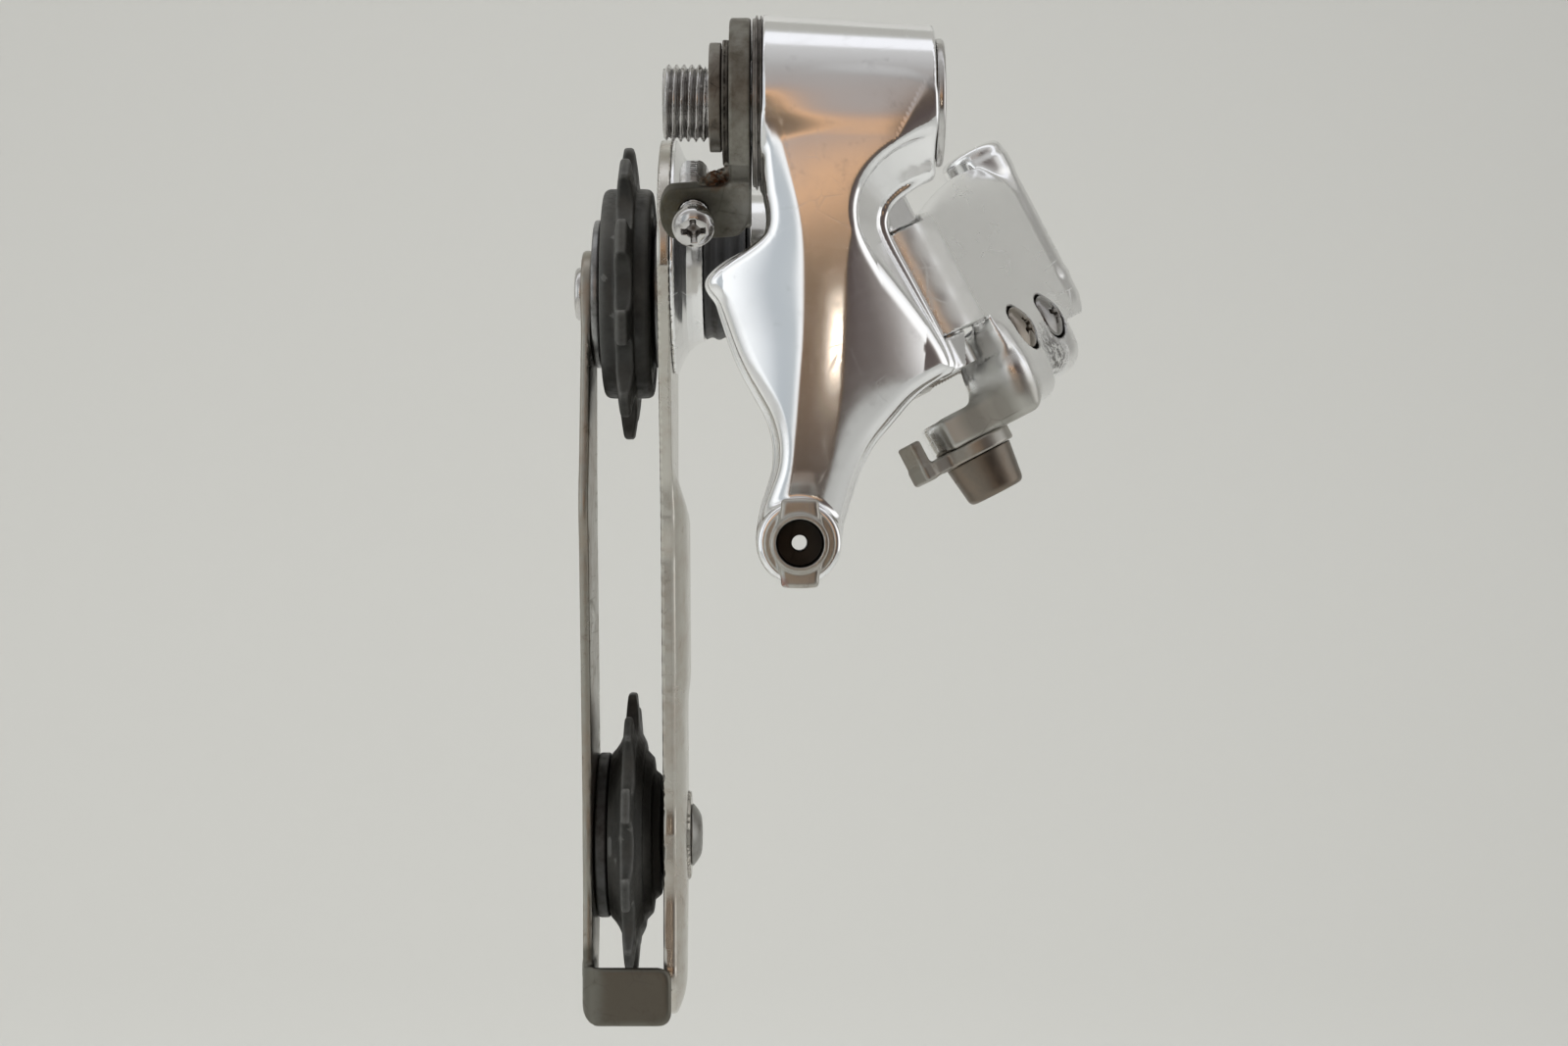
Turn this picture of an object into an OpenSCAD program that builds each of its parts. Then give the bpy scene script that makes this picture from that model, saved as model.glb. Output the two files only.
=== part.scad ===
// Rear bicycle derailleur, long cage, slant parallelogram, shown in its high-gear rest position.
// Frame: origin on the hanger bolt axis at the hanger's outer face.
// +X points outboard along the hanger bolt, +Y points to the front of the bicycle, +Z points up.

/* [Hanger side] */
// Major radius of the hanger bolt thread
thread_r = 5; // [5:0.05:5]
// Length of the hanger bolt thread inboard of the hanger face
thread_len = 6; // [5:0.5:7]
// Radius of the hanger bolt shank that the body turns on
shank_r = 5.5; // [5.4:0.05:5.6]
// Radius of the hanger bolt head
bolt_head_r = 8.3; // [7.5:0.1:9]
// Thickness of the tension adjusting plate
b_plate_t = 2.85; // [2.5:0.05:2.85]

/* [Upper body] */
// X of the boss's inboard face
boss_x0 = 6.95; // [6.95:0.05:7.2]
// X of the boss's outboard face
boss_x1 = 29.15; // [28:0.05:29.15]
// Boss radius at the inboard face
boss_r0 = 11.4; // [11:0.1:12]
// Boss radius at the outboard face
boss_r1 = 10; // [9.6:0.1:10.5]
// Radius of the boss bore
boss_bore = 7; // [6.95:0.05:7.1]
// Y of the body's rear face
body_y0 = -9.2; // [-10:0.1:-8.5]
// Y of the body's front face between the pivot ears
body_y1 = -1; // [-2:0.1:-1]

/* [Parallelogram] */
// Tilt of the pivot axes away from vertical, in degrees
slant = 27.5; // [27.5:0.5:27.5]
// Length of each link between its pivots
link_len = 40; // [40:0.5:40]
// Angle of the links at the high-gear stop, in degrees
rest_angle = 62.9; // [62.9:0.1:62.9]
// Distance of the outer rear pivot from the origin, across the slant
outer_rear_x = 14; // [14:0.1:14]
// Distance of the inner rear pivot from the origin, across the slant
inner_rear_x = -6; // [-6:0.1:-6]
// Y of both rear pivots
rear_y = 5; // [5:0.1:5]
// Radius of the pivot pins
pin_r = 2; // [1.8:0.05:2]
// Running clearance on a radius
run_gap = 0.05; // [0.03:0.01:0.08]

/* [Cage and pulleys] */
// Y of the cage pivot
pivot_y = 39.5; // [39:0.1:40]
// Z of the cage pivot
pivot_z = -16.2; // [-17:0.1:-16]
// Y of the guide pulley axle
guide_y = 47.6; // [47.4:0.1:48]
// Z of the guide pulley axle
guide_z = -20.8; // [-21:0.1:-20.4]
// Y of the tension pulley axle
tension_y = 56.4; // [56:0.1:57]
// Z of the tension pulley axle
tension_z = -102.4; // [-103:0.1:-100]
// X of the inner face of the outer cage plate
cage_xo = -8.1; // [-8.1:0.1:-8.1]
// X of the inner face of the inner cage plate
cage_xi = -18.4; // [-18.4:0.1:-18.4]
// Thickness of the cage plates
plate_t = 1.8; // [1.6:0.1:1.8]
// Thickness of the raised rib on the outer cage plate
rib_t = 2; // [1.5:0.1:2]
// Number of teeth on each pulley
teeth = 10; // [10:1:10]
// Chain pitch
pitch = 12.7; // [12.7:0.1:12.7]
// Radius of a pulley's tooth tips
tip_r = 21.7; // [21.2:0.1:21.9]
// Radius of the M5 pulley bolts
bolt_r = 2.5; // [2.5:0.05:2.5]

/* [Cable] */
// X of the cable adjuster's axis
adj_x = 11.7; // [11.5:0.1:12]
// Z of the cable adjuster's axis
adj_z = -57.4; // [-58:0.1:-57]
// Radius of the socket for the cable housing
socket_r = 2.9; // [2.6:0.05:2.9]

/* [Hidden] */
$fn = 48;

fit_gap = 0.02;      // clearance on a radius between fitted parts
neck_r = 4.5;        // hanger bolt, under the retaining ring
b_plate_x = 2.65;    // inboard face of the tension plate
adj_shank_r = 3;

// Front pivots, in the slanted frame.
front_y = rear_y + link_len * sin(rest_angle);
outer_front_x = outer_rear_x + link_len * cos(rest_angle);
inner_front_x = inner_rear_x + link_len * cos(rest_angle);

// Depths along the pivot axes: [top, bottom] of the upper and the lower ear or lug.
rear_outer_ears = [[21.2, 26], [41.6, 46]];
rear_inner_ears = [[20.1, 24], [38, 42]];
front_lugs = [[18.8, 23.3], [38.7, 44.2]];
knuckle_ears = [[23.5, 27.5], [34.5, 38.5]];
drill = [15, 50];

// Limit screws and cable anchor, in the outer link's frame.
high_limit_x = 13.6;
low_limit_x = 25.3;
limit_depth = 44.6;
anchor = [6.65, 6.8];
anchor_r = 5.45;
anchor_bolt_r = 2.4;

// Parts on the cage pivot.
hub_r = 17;
axle_r = 4;
axle_head_r = 5.5;
seal_seat_r = 8.6;
bush_seat_r = 6.5;
stop_pin_r = 0.8;
stop_pin_z = 5.6;    // above the cage pivot

// Cage and pulleys.
cage_out = cage_xo + plate_t;
cage_in = cage_xi - plate_t;
mid_x = (cage_xo + cage_xi) / 2;
pitch_r = pitch / (2 * sin(180 / teeth));
roller_r = 3.95;
sleeve_r = 3.55;
// Pulley hub lengths from mid_x, [inboard, outboard].
guide_hub = [3.8, 3.8];
tension_hub = [3.2, 4.5];

// Depths from the top of the upper ear to the bottom of the lower one, less an inset at each end.
function through(ears, inset) = [ears[0][0] + inset, ears[1][1] - inset];
// Depths of the space between two ears, less a gap at each end.
function between(ears, gap) = [ears[0][1] + gap, ears[1][0] - gap];

// ---- Shapes and frames --------------------------------------------------
// A cylinder or cone along z; r_end is the radius at z1 if it differs.
module zcyl(z0, z1, r, r_end = -1) {
  translate([0, 0, z0]) cylinder(h = z1 - z0, r1 = r, r2 = r_end < 0 ? r : r_end);
}
// Turns children's z to +X, starting at x0.
module along_x(x0) {
  translate([x0, 0, 0]) rotate([0, 90, 0]) children();
}
module xcyl(x0, x1, r, r_end = -1) {
  along_x(x0) zcyl(0, x1 - x0, r, r_end);
}
module xtube(x0, x1, r, bore) {
  difference() {
    xcyl(x0, x1, r);
    xcyl(x0 - 1, x1 + 1, bore);
  }
}
module hex_socket(x0, depth, r) {
  along_x(x0) cylinder(h = depth, r = r, $fn = 6);
}
module cross_slot(depth) {
  for (size = [[3.4, 0.7], [0.7, 3.4]])
    translate([-size.x / 2, -size.y / 2, 0]) cube([size.x, size.y, depth]);
}
// The slanted pivot frame: x is across the slant, y is forward, z runs up the pivot axes.
module slanted() {
  rotate([0, -slant, 0]) children();
}
// The frame of a link: x runs from its rear pivot to its front pivot, -y is outboard.
module link_frame(rear_x) {
  slanted() translate([rear_x, rear_y, 0]) rotate([0, 0, rest_angle]) children();
}
// A cylinder along the pivot axes, between two depths below the origin.
module pivot_cyl(x, y, depths, r) {
  translate([x, y, 0]) zcyl(-depths[1], -depths[0], r);
}
// A block given by its ranges in x, y and depth.
module slab(xs, ys, depths) {
  translate([xs[0], ys[0], -depths[1]])
    cube([xs[1] - xs[0], ys[1] - ys[0], depths[1] - depths[0]]);
}
// Straight-sided bars joining a run of circles, in 2D. Stations are [x, y, radius].
module bars(stations) {
  for (i = [0:len(stations) - 2]) {
    a = stations[i];
    b = stations[i + 1];
    start = [a.x, a.y];
    end = [b.x, b.y];
    run = end - start;
    normal = [-run.y, run.x] / norm(run);
    translate(start) circle(r = a.z, $fn = 72);
    translate(end) circle(r = b.z, $fn = 72);
    polygon([start + normal * a.z, start - normal * a.z, end - normal * b.z, end + normal * b.z]);
  }
}
// Extrudes a drawing made in the Y-Z plane from x0 to x1.
module yz(x0, x1) {
  translate([x0, 0, 0]) rotate([90, 0, 90]) linear_extrude(height = x1 - x0) children();
}
// Extrudes a drawing made in the X-Z plane from y0 to y1.
module xz(y0, y1) {
  translate([0, y1, 0]) rotate([90, 0, 0]) linear_extrude(height = y1 - y0) children();
}
// A closed round wire wound on a helix along z.
module coil(mean, wire, length, turns) {
  steps = 20; // per turn
  sides = 8;  // round the wire
  last = floor(turns * steps);
  points = [for (i = [0:last])
    let (a = i * 360 / steps, z = wire + (length - 2 * wire) * i / last)
    for (j = [0:sides - 1])
      let (b = j * 360 / sides, r = mean + wire * cos(b))
      [r * cos(a), r * sin(a), z + wire * sin(b)]];
  skin = [for (i = [0:last - 1]) for (j = [0:sides - 1])
    let (p = i * sides + j, q = i * sides + (j + 1) % sides)
    [p, q, q + sides, p + sides]];
  start_cap = [for (j = [sides - 1:-1:0]) j];
  end_cap = [for (j = [0:sides - 1]) last * sides + j];
  polyhedron(points = points, faces = concat(skin, [start_cap], [end_cap]), convexity = 8);
}

// ---- Hanger group -------------------------------------------------------
module hanger_bolt() color([0.62, 0.62, 0.63]) difference() {
  union() {
    xcyl(-thread_len, 0, thread_r);
    xcyl(-0.05, 1.75, neck_r);
    xcyl(1.7, boss_x1 + 0.1, shank_r);
    xcyl(boss_x1 + 0.05, 30, bolt_head_r);
    xcyl(30, 30.5, bolt_head_r, bolt_head_r - 0.7);
  }
  hex_socket(26, 6, 2.9);
  xcyl(-7, -4.5, 2.2);
}
module hanger_retaining_ring() color([0.45, 0.43, 0.4]) difference() {
  translate([0, 0, 0.7]) xcyl(0, 1.6, 7.1);
  xcyl(-1, 1.7, neck_r + 0.04);
  xcyl(-1, 0.6, 5.15);
}
module hanger_washer() color([0.2, 0.19, 0.18]) xtube(1.72, 2.6, 8.2, shank_r + 0.03);
// The screw axis in the plate's tab.
module b_axis() {
  translate([-2.1, 0.6, -13.9]) rotate([0, -3, 0]) rotate([-60, 0, 0]) children();
}
module b_tension_plate() color([0.5, 0.49, 0.46]) difference() {
  union() {
    xcyl(b_plate_x, b_plate_x + b_plate_t, 11);
    yz(b_plate_x, b_plate_x + b_plate_t) polygon([
      [-6.5, 0], [6.5, 0], [5.2, -14.6], [3.4, -15.8], [0.4, -15.8], [-1.4, -12.6], [-5.6, -9.6]]);
    // Tab, trimmed square to X at both ends.
    intersection() {
      b_axis() translate([-4.6, -3.5, -1.3]) cube([12.2, 7.1, 2.6]);
      translate([-6.9, -20, -30]) cube([12.4, 40, 40]);
    }
  }
  xcyl(2, 6, shank_r + run_gap);
  b_axis() zcyl(-4, 4, 2.05);
}
module b_adjust_screw() color([0.6, 0.6, 0.6]) b_axis() difference() {
  union() {
    zcyl(-4.5, 13.5, 2);
    zcyl(-7, -4.4, 2.8);
  }
  translate([0, 0, -7.2]) cross_slot(1.2);
}

// ---- Upper body ---------------------------------------------------------
// Outline of the body seen along Y, as [x, z].
body_outline = [
  [7, 2], [7.1, -12], [7.7, -14.7], [7.6, -17.2], [6.7, -18.3], [4.9, -19.6], [2, -21.1],
  [-0.3, -23], [-0.3, -24.7], [1.1, -26.3], [1.4, -27.5], [3.6, -34.1], [7.7, -41.2],
  [8.6, -44.7], [8.5, -47.8], [7.7, -50.5], [6.6, -53.6], [6.3, -57], [16.9, -57],
  [18, -52.7], [19.2, -48.8], [20.2, -46.6], [21.5, -44.3], [23.7, -41.8], [26, -39],
  [27.9, -37.3], [29.7, -36.1], [31.9, -34.7], [30.5, -31], [26, -22.4], [22.6, -16.4],
  [23.6, -13], [29.1, -9.4], [29.1, 2]];
// Pivot ears on the body, rooted in its front face.
module body_ears(x, ears, r) {
  for (depths = ears) {
    pivot_cyl(x, rear_y, depths, r);
    slab([x - r, x + r], [body_y1 - 1.5, rear_y], depths);
  }
}
module upper_body() color([0.8, 0.8, 0.8]) difference() {
  union() {
    xcyl(boss_x0, boss_x1, boss_r0, boss_r1);
    xz(body_y0, body_y1) polygon(body_outline);
    adjuster_axis() zcyl(body_y0, body_y1, 5.3);
    slanted() {
      body_ears(outer_rear_x, rear_outer_ears, 3.7);
      body_ears(inner_rear_x, rear_inner_ears, 3.8);
    }
  }
  xcyl(boss_x0 - 3, boss_x1 + 1, boss_bore);
  slanted() for (x = [outer_rear_x, inner_rear_x]) pivot_cyl(x, rear_y, drill, pin_r + fit_gap);
  adjuster_axis() zcyl(body_y0 - 1, body_y0 + 11, adj_shank_r + 0.05);
}
module b_pivot_bush() color([0.75, 0.6, 0.35])
  xtube(20, boss_x1 - 0.05, boss_bore - fit_gap, shank_r + run_gap);
module b_pivot_spring() color([0.35, 0.35, 0.36])
  along_x(8.4) coil(mean = 6.28, wire = 0.5, length = 10.8, turns = 6);
module b_dust_cover() color([0.25, 0.24, 0.23]) xtube(5.62, boss_x0 - 0.05, 11.3, shank_r + 0.1);
module rear_outer_pin() color([0.6, 0.6, 0.6])
  slanted() pivot_cyl(outer_rear_x, rear_y, through(rear_outer_ears, 0.2), pin_r);
module rear_inner_pin() color([0.6, 0.6, 0.6])
  slanted() pivot_cyl(inner_rear_x, rear_y, through(rear_inner_ears, 0.2), pin_r);

// ---- Cable adjuster -----------------------------------------------------
// Puts children's z along +Y on the adjuster's axis, so that z equals Y.
module adjuster_axis() {
  translate([adj_x, 0, adj_z]) rotate([-90, 0, 0]) children();
}
module barrel_adjuster() color([0.7, 0.7, 0.7]) difference() {
  union() {
    adjuster_axis() {
      zcyl(-14.2, -0.8, adj_shank_r);
      zcyl(-23.5, -14, 3.55);
      zcyl(-15, -14, 4.6);
    }
    // Upright wings.
    translate([adj_x - 2, -20.5, adj_z - 5.6]) cube([4, 6.4, 11.2]);
  }
  adjuster_axis() {
    zcyl(-24, -15.5, socket_r);
    zcyl(-24, 1, 1);
  }
}
module adjuster_spring() color([0.45, 0.45, 0.45])
  adjuster_axis() translate([0, 0, -13.9]) coil(mean = 3.72, wire = 0.4, length = 4.6, turns = 3);

// ---- Outer link ---------------------------------------------------------
// A limit screw's axis in the link's frame; its z points outboard.
module limit_axis(x) {
  translate([x, 0, -limit_depth]) rotate([90, 0, 0]) children();
}
module outer_link() color([0.85, 0.85, 0.85]) link_frame(outer_rear_x) difference() {
  barrel = between(rear_outer_ears, 0.2);
  spring_pocket = [30, 37.6];
  knuckle_r = 3.75;
  anchor_depths = [50.6, 55];
  anchor_x0 = anchor.x - anchor_r;
  union() {
    // Rear barrel and the plate that rolls off it.
    pivot_cyl(0, 0, barrel, 4.6);
    slab([0, 5.4], [-4.6, -2.3], barrel);
    slab([5.4, 34], [-4.6, -1.4], [20, 46]);
    // Front lugs and the skin that wraps past the knuckle's ears.
    for (depths = front_lugs) {
      pivot_cyl(link_len, 0, depths, 4.8);
      slab([33, link_len], [-4.8, -1.4], depths);
    }
    intersection() {
      difference() {
        pivot_cyl(link_len, 0, [23, 39], 4.9);
        pivot_cyl(link_len, 0, [22, 40], knuckle_r);
      }
      slab([33, 41.8], [-6, -1.4], [22, 40]);
    }
    // Boss for the limit screws and the arm that carries the cable anchor.
    slab([8.5, 30.5], [-5, 3.5], [42, 50.2]);
    slab([anchor_x0, 14], [-5, 3.5], [46.5, 55]);
    slab([anchor_x0, anchor.x + anchor_r], [3, 7], anchor_depths);
    pivot_cyl(anchor.x, anchor.y, anchor_depths, anchor_r);
  }
  pivot_cyl(0, 0, [15, 46.4], pin_r + run_gap);
  pivot_cyl(0, 0, spring_pocket, 3.9);
  slab([-5, 5], [1.6, 6], spring_pocket);
  pivot_cyl(link_len, 0, drill, pin_r + fit_gap);
  // Room for the knuckle's ears between the lugs.
  pivot_cyl(link_len, 0, between(front_lugs, 0), knuckle_r);
  for (x = [high_limit_x, low_limit_x]) limit_axis(x) {
    zcyl(-6, 6, 1.53);
    zcyl(3.4, 6.4, 3.3);
  }
  pivot_cyl(anchor.x, anchor.y, [50, 56], anchor_bolt_r + 0.03);
}
module front_outer_pin() color([0.6, 0.6, 0.6])
  link_frame(outer_rear_x) pivot_cyl(link_len, 0, through(front_lugs, 0.2), pin_r);
module link_return_spring() color([0.4, 0.4, 0.4])
  slanted() translate([outer_rear_x, rear_y, -37.3])
    coil(mean = 3.1, wire = 0.5, length = 7, turns = 5);
module limit_screw(x) link_frame(outer_rear_x) limit_axis(x) difference() {
  union() {
    zcyl(-11.5, 3.7, 1.5);
    zcyl(3.5, 4.8, 3.2);
    zcyl(4.8, 5.5, 3.2, 2.2);
  }
  translate([0, 0, 4.4]) cross_slot(2);
}
module high_limit_screw() color([0.55, 0.55, 0.55]) limit_screw(high_limit_x);
module low_limit_screw() color([0.55, 0.55, 0.55]) limit_screw(low_limit_x);
module anchor_frame() {
  link_frame(outer_rear_x) translate([anchor.x, anchor.y, 0]) children();
}
module cable_anchor_bolt() color([0.55, 0.53, 0.5]) anchor_frame() difference() {
  union() {
    zcyl(-57.3, -50.7, anchor_bolt_r);
    zcyl(-62.6, -57.25, 4.05, 4.75);
    zcyl(-63, -62.55, 3.4, 4.05);
  }
  translate([0, 0, -64]) cylinder(h = 4, r = 2.9, $fn = 6);
}
module cable_anchor_washer() color([0.5, 0.47, 0.42]) anchor_frame() difference() {
  union() {
    zcyl(-57.2, -55.05, anchor_r);
    // Tongue with an upturned end.
    translate([0, 0, -57.2]) rotate([0, 0, 28]) {
      translate([-2, 3, 0]) cube([4.4, 6.6, 2.15]);
      translate([-2, 7.9, 0]) cube([4.4, 1.7, 5.6]);
    }
  }
  zcyl(-58, -54, anchor_bolt_r + 0.03);
}

// ---- Inner link ---------------------------------------------------------
module inner_link() color([0.75, 0.75, 0.75]) link_frame(inner_rear_x) difference() {
  rear = between(rear_inner_ears, 0.15);
  front = between(knuckle_ears, 0.15);
  half_t = 1.7;
  web = [-half_t, half_t];
  pads = [42.4, 46.3];
  union() {
    pivot_cyl(0, 0, rear, 4.1);
    pivot_cyl(link_len, 0, front, 4.1);
    slab([0, 5.5], web, rear);
    slab([5.4, 33.5], web, [rear[0], 42.5]);
    slab([33, link_len], web, front);
    // Stop pads that the limit screws bear on.
    slab([20.4, 25], [-6.05, half_t], pads);
    slab([11.6, 16.2], [-4.6, half_t], pads);
    slab([11.6, 25], web, pads);
  }
  pivot_cyl(0, 0, drill, pin_r + run_gap);
  pivot_cyl(link_len, 0, drill, pin_r + 0.09);
}

// ---- Lower knuckle ------------------------------------------------------
module at_pivot() {
  translate([0, pivot_y, pivot_z]) children();
}
// Stop block at the mouth of the spring cavity, from x0.
module stop_block(x0) {
  at_pivot() rotate([70, 0, 0]) translate([x0, 4.5, -1.1]) cube([0.5 - x0, 3, 2.2]);
}
module lower_knuckle() color([0.8, 0.8, 0.8]) difference() {
  ear_x0 = inner_front_x - 3.4;
  web_x0 = inner_front_x - 3;
  ear_x1 = outer_front_x + 1.2;
  holes = through(knuckle_ears, -1.5);
  union() {
    at_pivot() {
      xcyl(4.3, 14.5, 10);
      xcyl(-1.5, 4.4, seal_seat_r);
    }
    slanted() {
      for (depths = knuckle_ears)
        translate([0, 0, -depths[1]]) linear_extrude(height = depths[1] - depths[0]) {
          bars([[inner_front_x, front_y, 3.6], [outer_front_x, front_y, 3.4]]);
          polygon([[ear_x0, front_y], [ear_x1, front_y], [ear_x1, 46], [ear_x0, 46]]);
        }
      // Web that joins the ears to the barrel, on the front side.
      xz(45.3, 50) polygon([
        [-3, -17], [6, -17], [web_x0, -23.5], [ear_x1, -23.5],
        [ear_x1, -38.5], [web_x0, -38.5], [3, -31], [-3, -26]]);
    }
    stop_block(-1.5);
  }
  // Spring cavity, leaving the stop block.
  difference() {
    at_pivot() xcyl(-3, 9, 6.8);
    stop_block(-1.6);
  }
  at_pivot() xcyl(8, 16, bush_seat_r);
  slanted() {
    // Clearance for the inner link's front barrel between the ears.
    pivot_cyl(inner_front_x, front_y, between(knuckle_ears, 0), 4.5);
    pivot_cyl(outer_front_x, front_y, holes, pin_r + run_gap);
    pivot_cyl(inner_front_x, front_y, holes, pin_r + fit_gap);
  }
}
module front_inner_pin() color([0.6, 0.6, 0.6])
  slanted() pivot_cyl(inner_front_x, front_y, through(knuckle_ears, 0.1), pin_r);
module cage_pivot_seal() color([0.08, 0.08, 0.08])
  at_pivot() xtube(-1.7, 4.25, 12, seal_seat_r + 0.04);
module cage_pivot_bush() color([0.75, 0.6, 0.35])
  at_pivot() xtube(9.1, 12.4, bush_seat_r - fit_gap, axle_r + run_gap);
module cage_pivot_spring() color([0.35, 0.35, 0.36])
  at_pivot() along_x(0.8) coil(mean = 5.55, wire = 0.85, length = 8, turns = 4);
module knuckle_end_cap() color([0.7, 0.7, 0.7]) at_pivot() {
  xcyl(13.7, 14.6, 6.45);
  xcyl(14.6, 15.2, 6.45, 5.6);
}

// ---- Cage ---------------------------------------------------------------
module at_guide() {
  translate([0, guide_y, guide_z]) children();
}
module at_tension() {
  translate([0, tension_y, tension_z]) children();
}
// A hole right across the cage.
module cage_bore(r) {
  xcyl(-25, 0, r);
}
module bolt_holes() {
  at_guide() cage_bore(bolt_r + fit_gap);
  at_tension() cage_bore(bolt_r + fit_gap);
}
module cage_hub() color([0.8, 0.8, 0.8]) at_pivot() difference() {
  bore = axle_r + 0.03;
  face = cage_out + 0.05;
  // Profile as [radius, x].
  along_x(0) rotate_extrude($fn = 96) polygon([
    [bore, face], [hub_r, face], [hub_r, -5.6], [14.6, -4.6], [13, -3.3], [12.2, -1.8],
    [bore, -1.8]]);
  translate([0, 0, stop_pin_z]) xcyl(-4, 0, stop_pin_r + fit_gap);
}
module cage_pivot_axle() color([0.55, 0.55, 0.55]) at_pivot() difference() {
  union() {
    xcyl(cage_xo + 0.05, cage_out, axle_head_r);
    xcyl(cage_out - 0.1, 13.5, axle_r);
  }
  // Clip groove.
  xtube(12.55, 13.05, 4.5, 3.4);
}
module cage_pivot_clip() color([0.3, 0.3, 0.3]) at_pivot() xtube(12.6, 13, 5.6, 3.45);
module cage_stop_pin() color([0.5, 0.5, 0.5])
  at_pivot() translate([0, 0, stop_pin_z]) xcyl(-3.9, 0.3, stop_pin_r);

// Centre line of the cage plates below the pivots.
tail_y = tension_y - 3;
foot_y = tension_y - 5.5;
module outer_cage_plate() color([0.75, 0.74, 0.72]) difference() {
  union() {
    yz(cage_xo, cage_out) bars([
      [pivot_y, pivot_z, hub_r], [45, -52, 10.5], [tail_y, tension_z, 10], [foot_y, -121.6, 7]]);
    // Raised rib down the plate's outer face.
    yz(cage_out - 0.1, cage_out + rib_t)
      bars([[44.6, -46.5, 9.6], [tail_y, tension_z, 9.2], [foot_y, -121.4, 6.2]]);
  }
  at_pivot() xcyl(-10, 0, axle_head_r + 0.04);
  bolt_holes();
}
module inner_cage_plate() color([0.7, 0.69, 0.66]) difference() {
  union() {
    yz(cage_in, cage_xi) bars([
      [guide_y, guide_z, 6.5], [45, -52, 9.5], [tail_y, tension_z, 9.5], [foot_y, -121.6, 7]]);
    // Retaining tab bent across the bottom of the cage.
    translate([cage_in, tension_y - 14.8, -129]) {
      cube([13.4, plate_t, 8.7]);
      cube([plate_t, 9, 8.7]);
    }
  }
  bolt_holes();
}
module guide_pulley_bolt() color([0.5, 0.5, 0.5]) at_guide() difference() {
  union() {
    xcyl(cage_in - 1.2, cage_in - 0.02, 4);
    xcyl(cage_in - 0.05, cage_out - 0.1, bolt_r);
  }
  hex_socket(cage_in - 3, 3.5, 1.9);
}
module tension_pulley_bolt() color([0.6, 0.6, 0.6]) at_tension() difference() {
  face = cage_out + rib_t;
  union() {
    xcyl(face + 0.02, face + 0.9, 5.7);
    xcyl(face + 0.85, face + 1.6, 5.7, 4.2);
    xcyl(cage_in + 0.1, face + 0.1, bolt_r);
  }
  hex_socket(face - 1.2, 4, 1.9);
}
module sleeve() {
  xtube(cage_xi + 0.03, cage_xo - 0.03, sleeve_r, bolt_r + fit_gap);
}
module guide_pulley_sleeve() color([0.7, 0.6, 0.4]) at_guide() sleeve();
module tension_pulley_sleeve() color([0.7, 0.6, 0.4]) at_tension() sleeve();
// The caps on the inboard and outboard sides of a pulley's hub.
module caps(r_in, r_out, hub) {
  bore = sleeve_r + fit_gap;
  xtube(cage_xi + 0.05, mid_x - hub[0] - 0.12, r_in, bore);
  xtube(mid_x + hub[1] + 0.12, cage_xo - 0.05, r_out, bore);
}
module guide_pulley_caps() color([0.55, 0.55, 0.55]) at_guide() caps(11, 11, guide_hub);
module tension_pulley_caps() color([0.2, 0.2, 0.2]) at_tension() caps(12.5, 6.5, tension_hub);
// The toothed disc of a pulley.
module toothed(width) difference() {
  xcyl(mid_x - width / 2, mid_x + width / 2, tip_r);
  for (i = [0:teeth - 1])
    rotate([(i + 0.5) * 360 / teeth, 0, 0])
      translate([0, 0, pitch_r]) xcyl(mid_x - width, mid_x + width, roller_r);
}
module guide_pulley() color([0.12, 0.12, 0.12]) at_guide() difference() {
  union() {
    toothed(2.4);
    xcyl(mid_x - guide_hub[0], mid_x + guide_hub[1], 15.6);
  }
  cage_bore(sleeve_r + run_gap);
}
module tension_pulley() color([0.12, 0.12, 0.12]) at_tension() difference() {
  union() {
    toothed(2);
    xcyl(mid_x - tension_hub[0], mid_x - 0.9, 12.6, 16.4);
    xcyl(mid_x + 0.9, mid_x + 3.2, 16.4, 11.5);
    xcyl(mid_x - 1, mid_x + tension_hub[1], 9);
  }
  cage_bore(sleeve_r + run_gap);
}

hanger_bolt();
hanger_retaining_ring();
hanger_washer();
b_tension_plate();
b_adjust_screw();
upper_body();
b_pivot_bush();
b_pivot_spring();
b_dust_cover();
rear_outer_pin();
rear_inner_pin();
barrel_adjuster();
adjuster_spring();
outer_link();
front_outer_pin();
link_return_spring();
high_limit_screw();
low_limit_screw();
cable_anchor_bolt();
cable_anchor_washer();
inner_link();
lower_knuckle();
front_inner_pin();
cage_pivot_seal();
cage_pivot_bush();
cage_pivot_spring();
knuckle_end_cap();
cage_hub();
cage_pivot_axle();
cage_pivot_clip();
cage_stop_pin();
outer_cage_plate();
inner_cage_plate();
guide_pulley_bolt();
tension_pulley_bolt();
guide_pulley_sleeve();
tension_pulley_sleeve();
guide_pulley_caps();
tension_pulley_caps();
guide_pulley();
tension_pulley();
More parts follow.
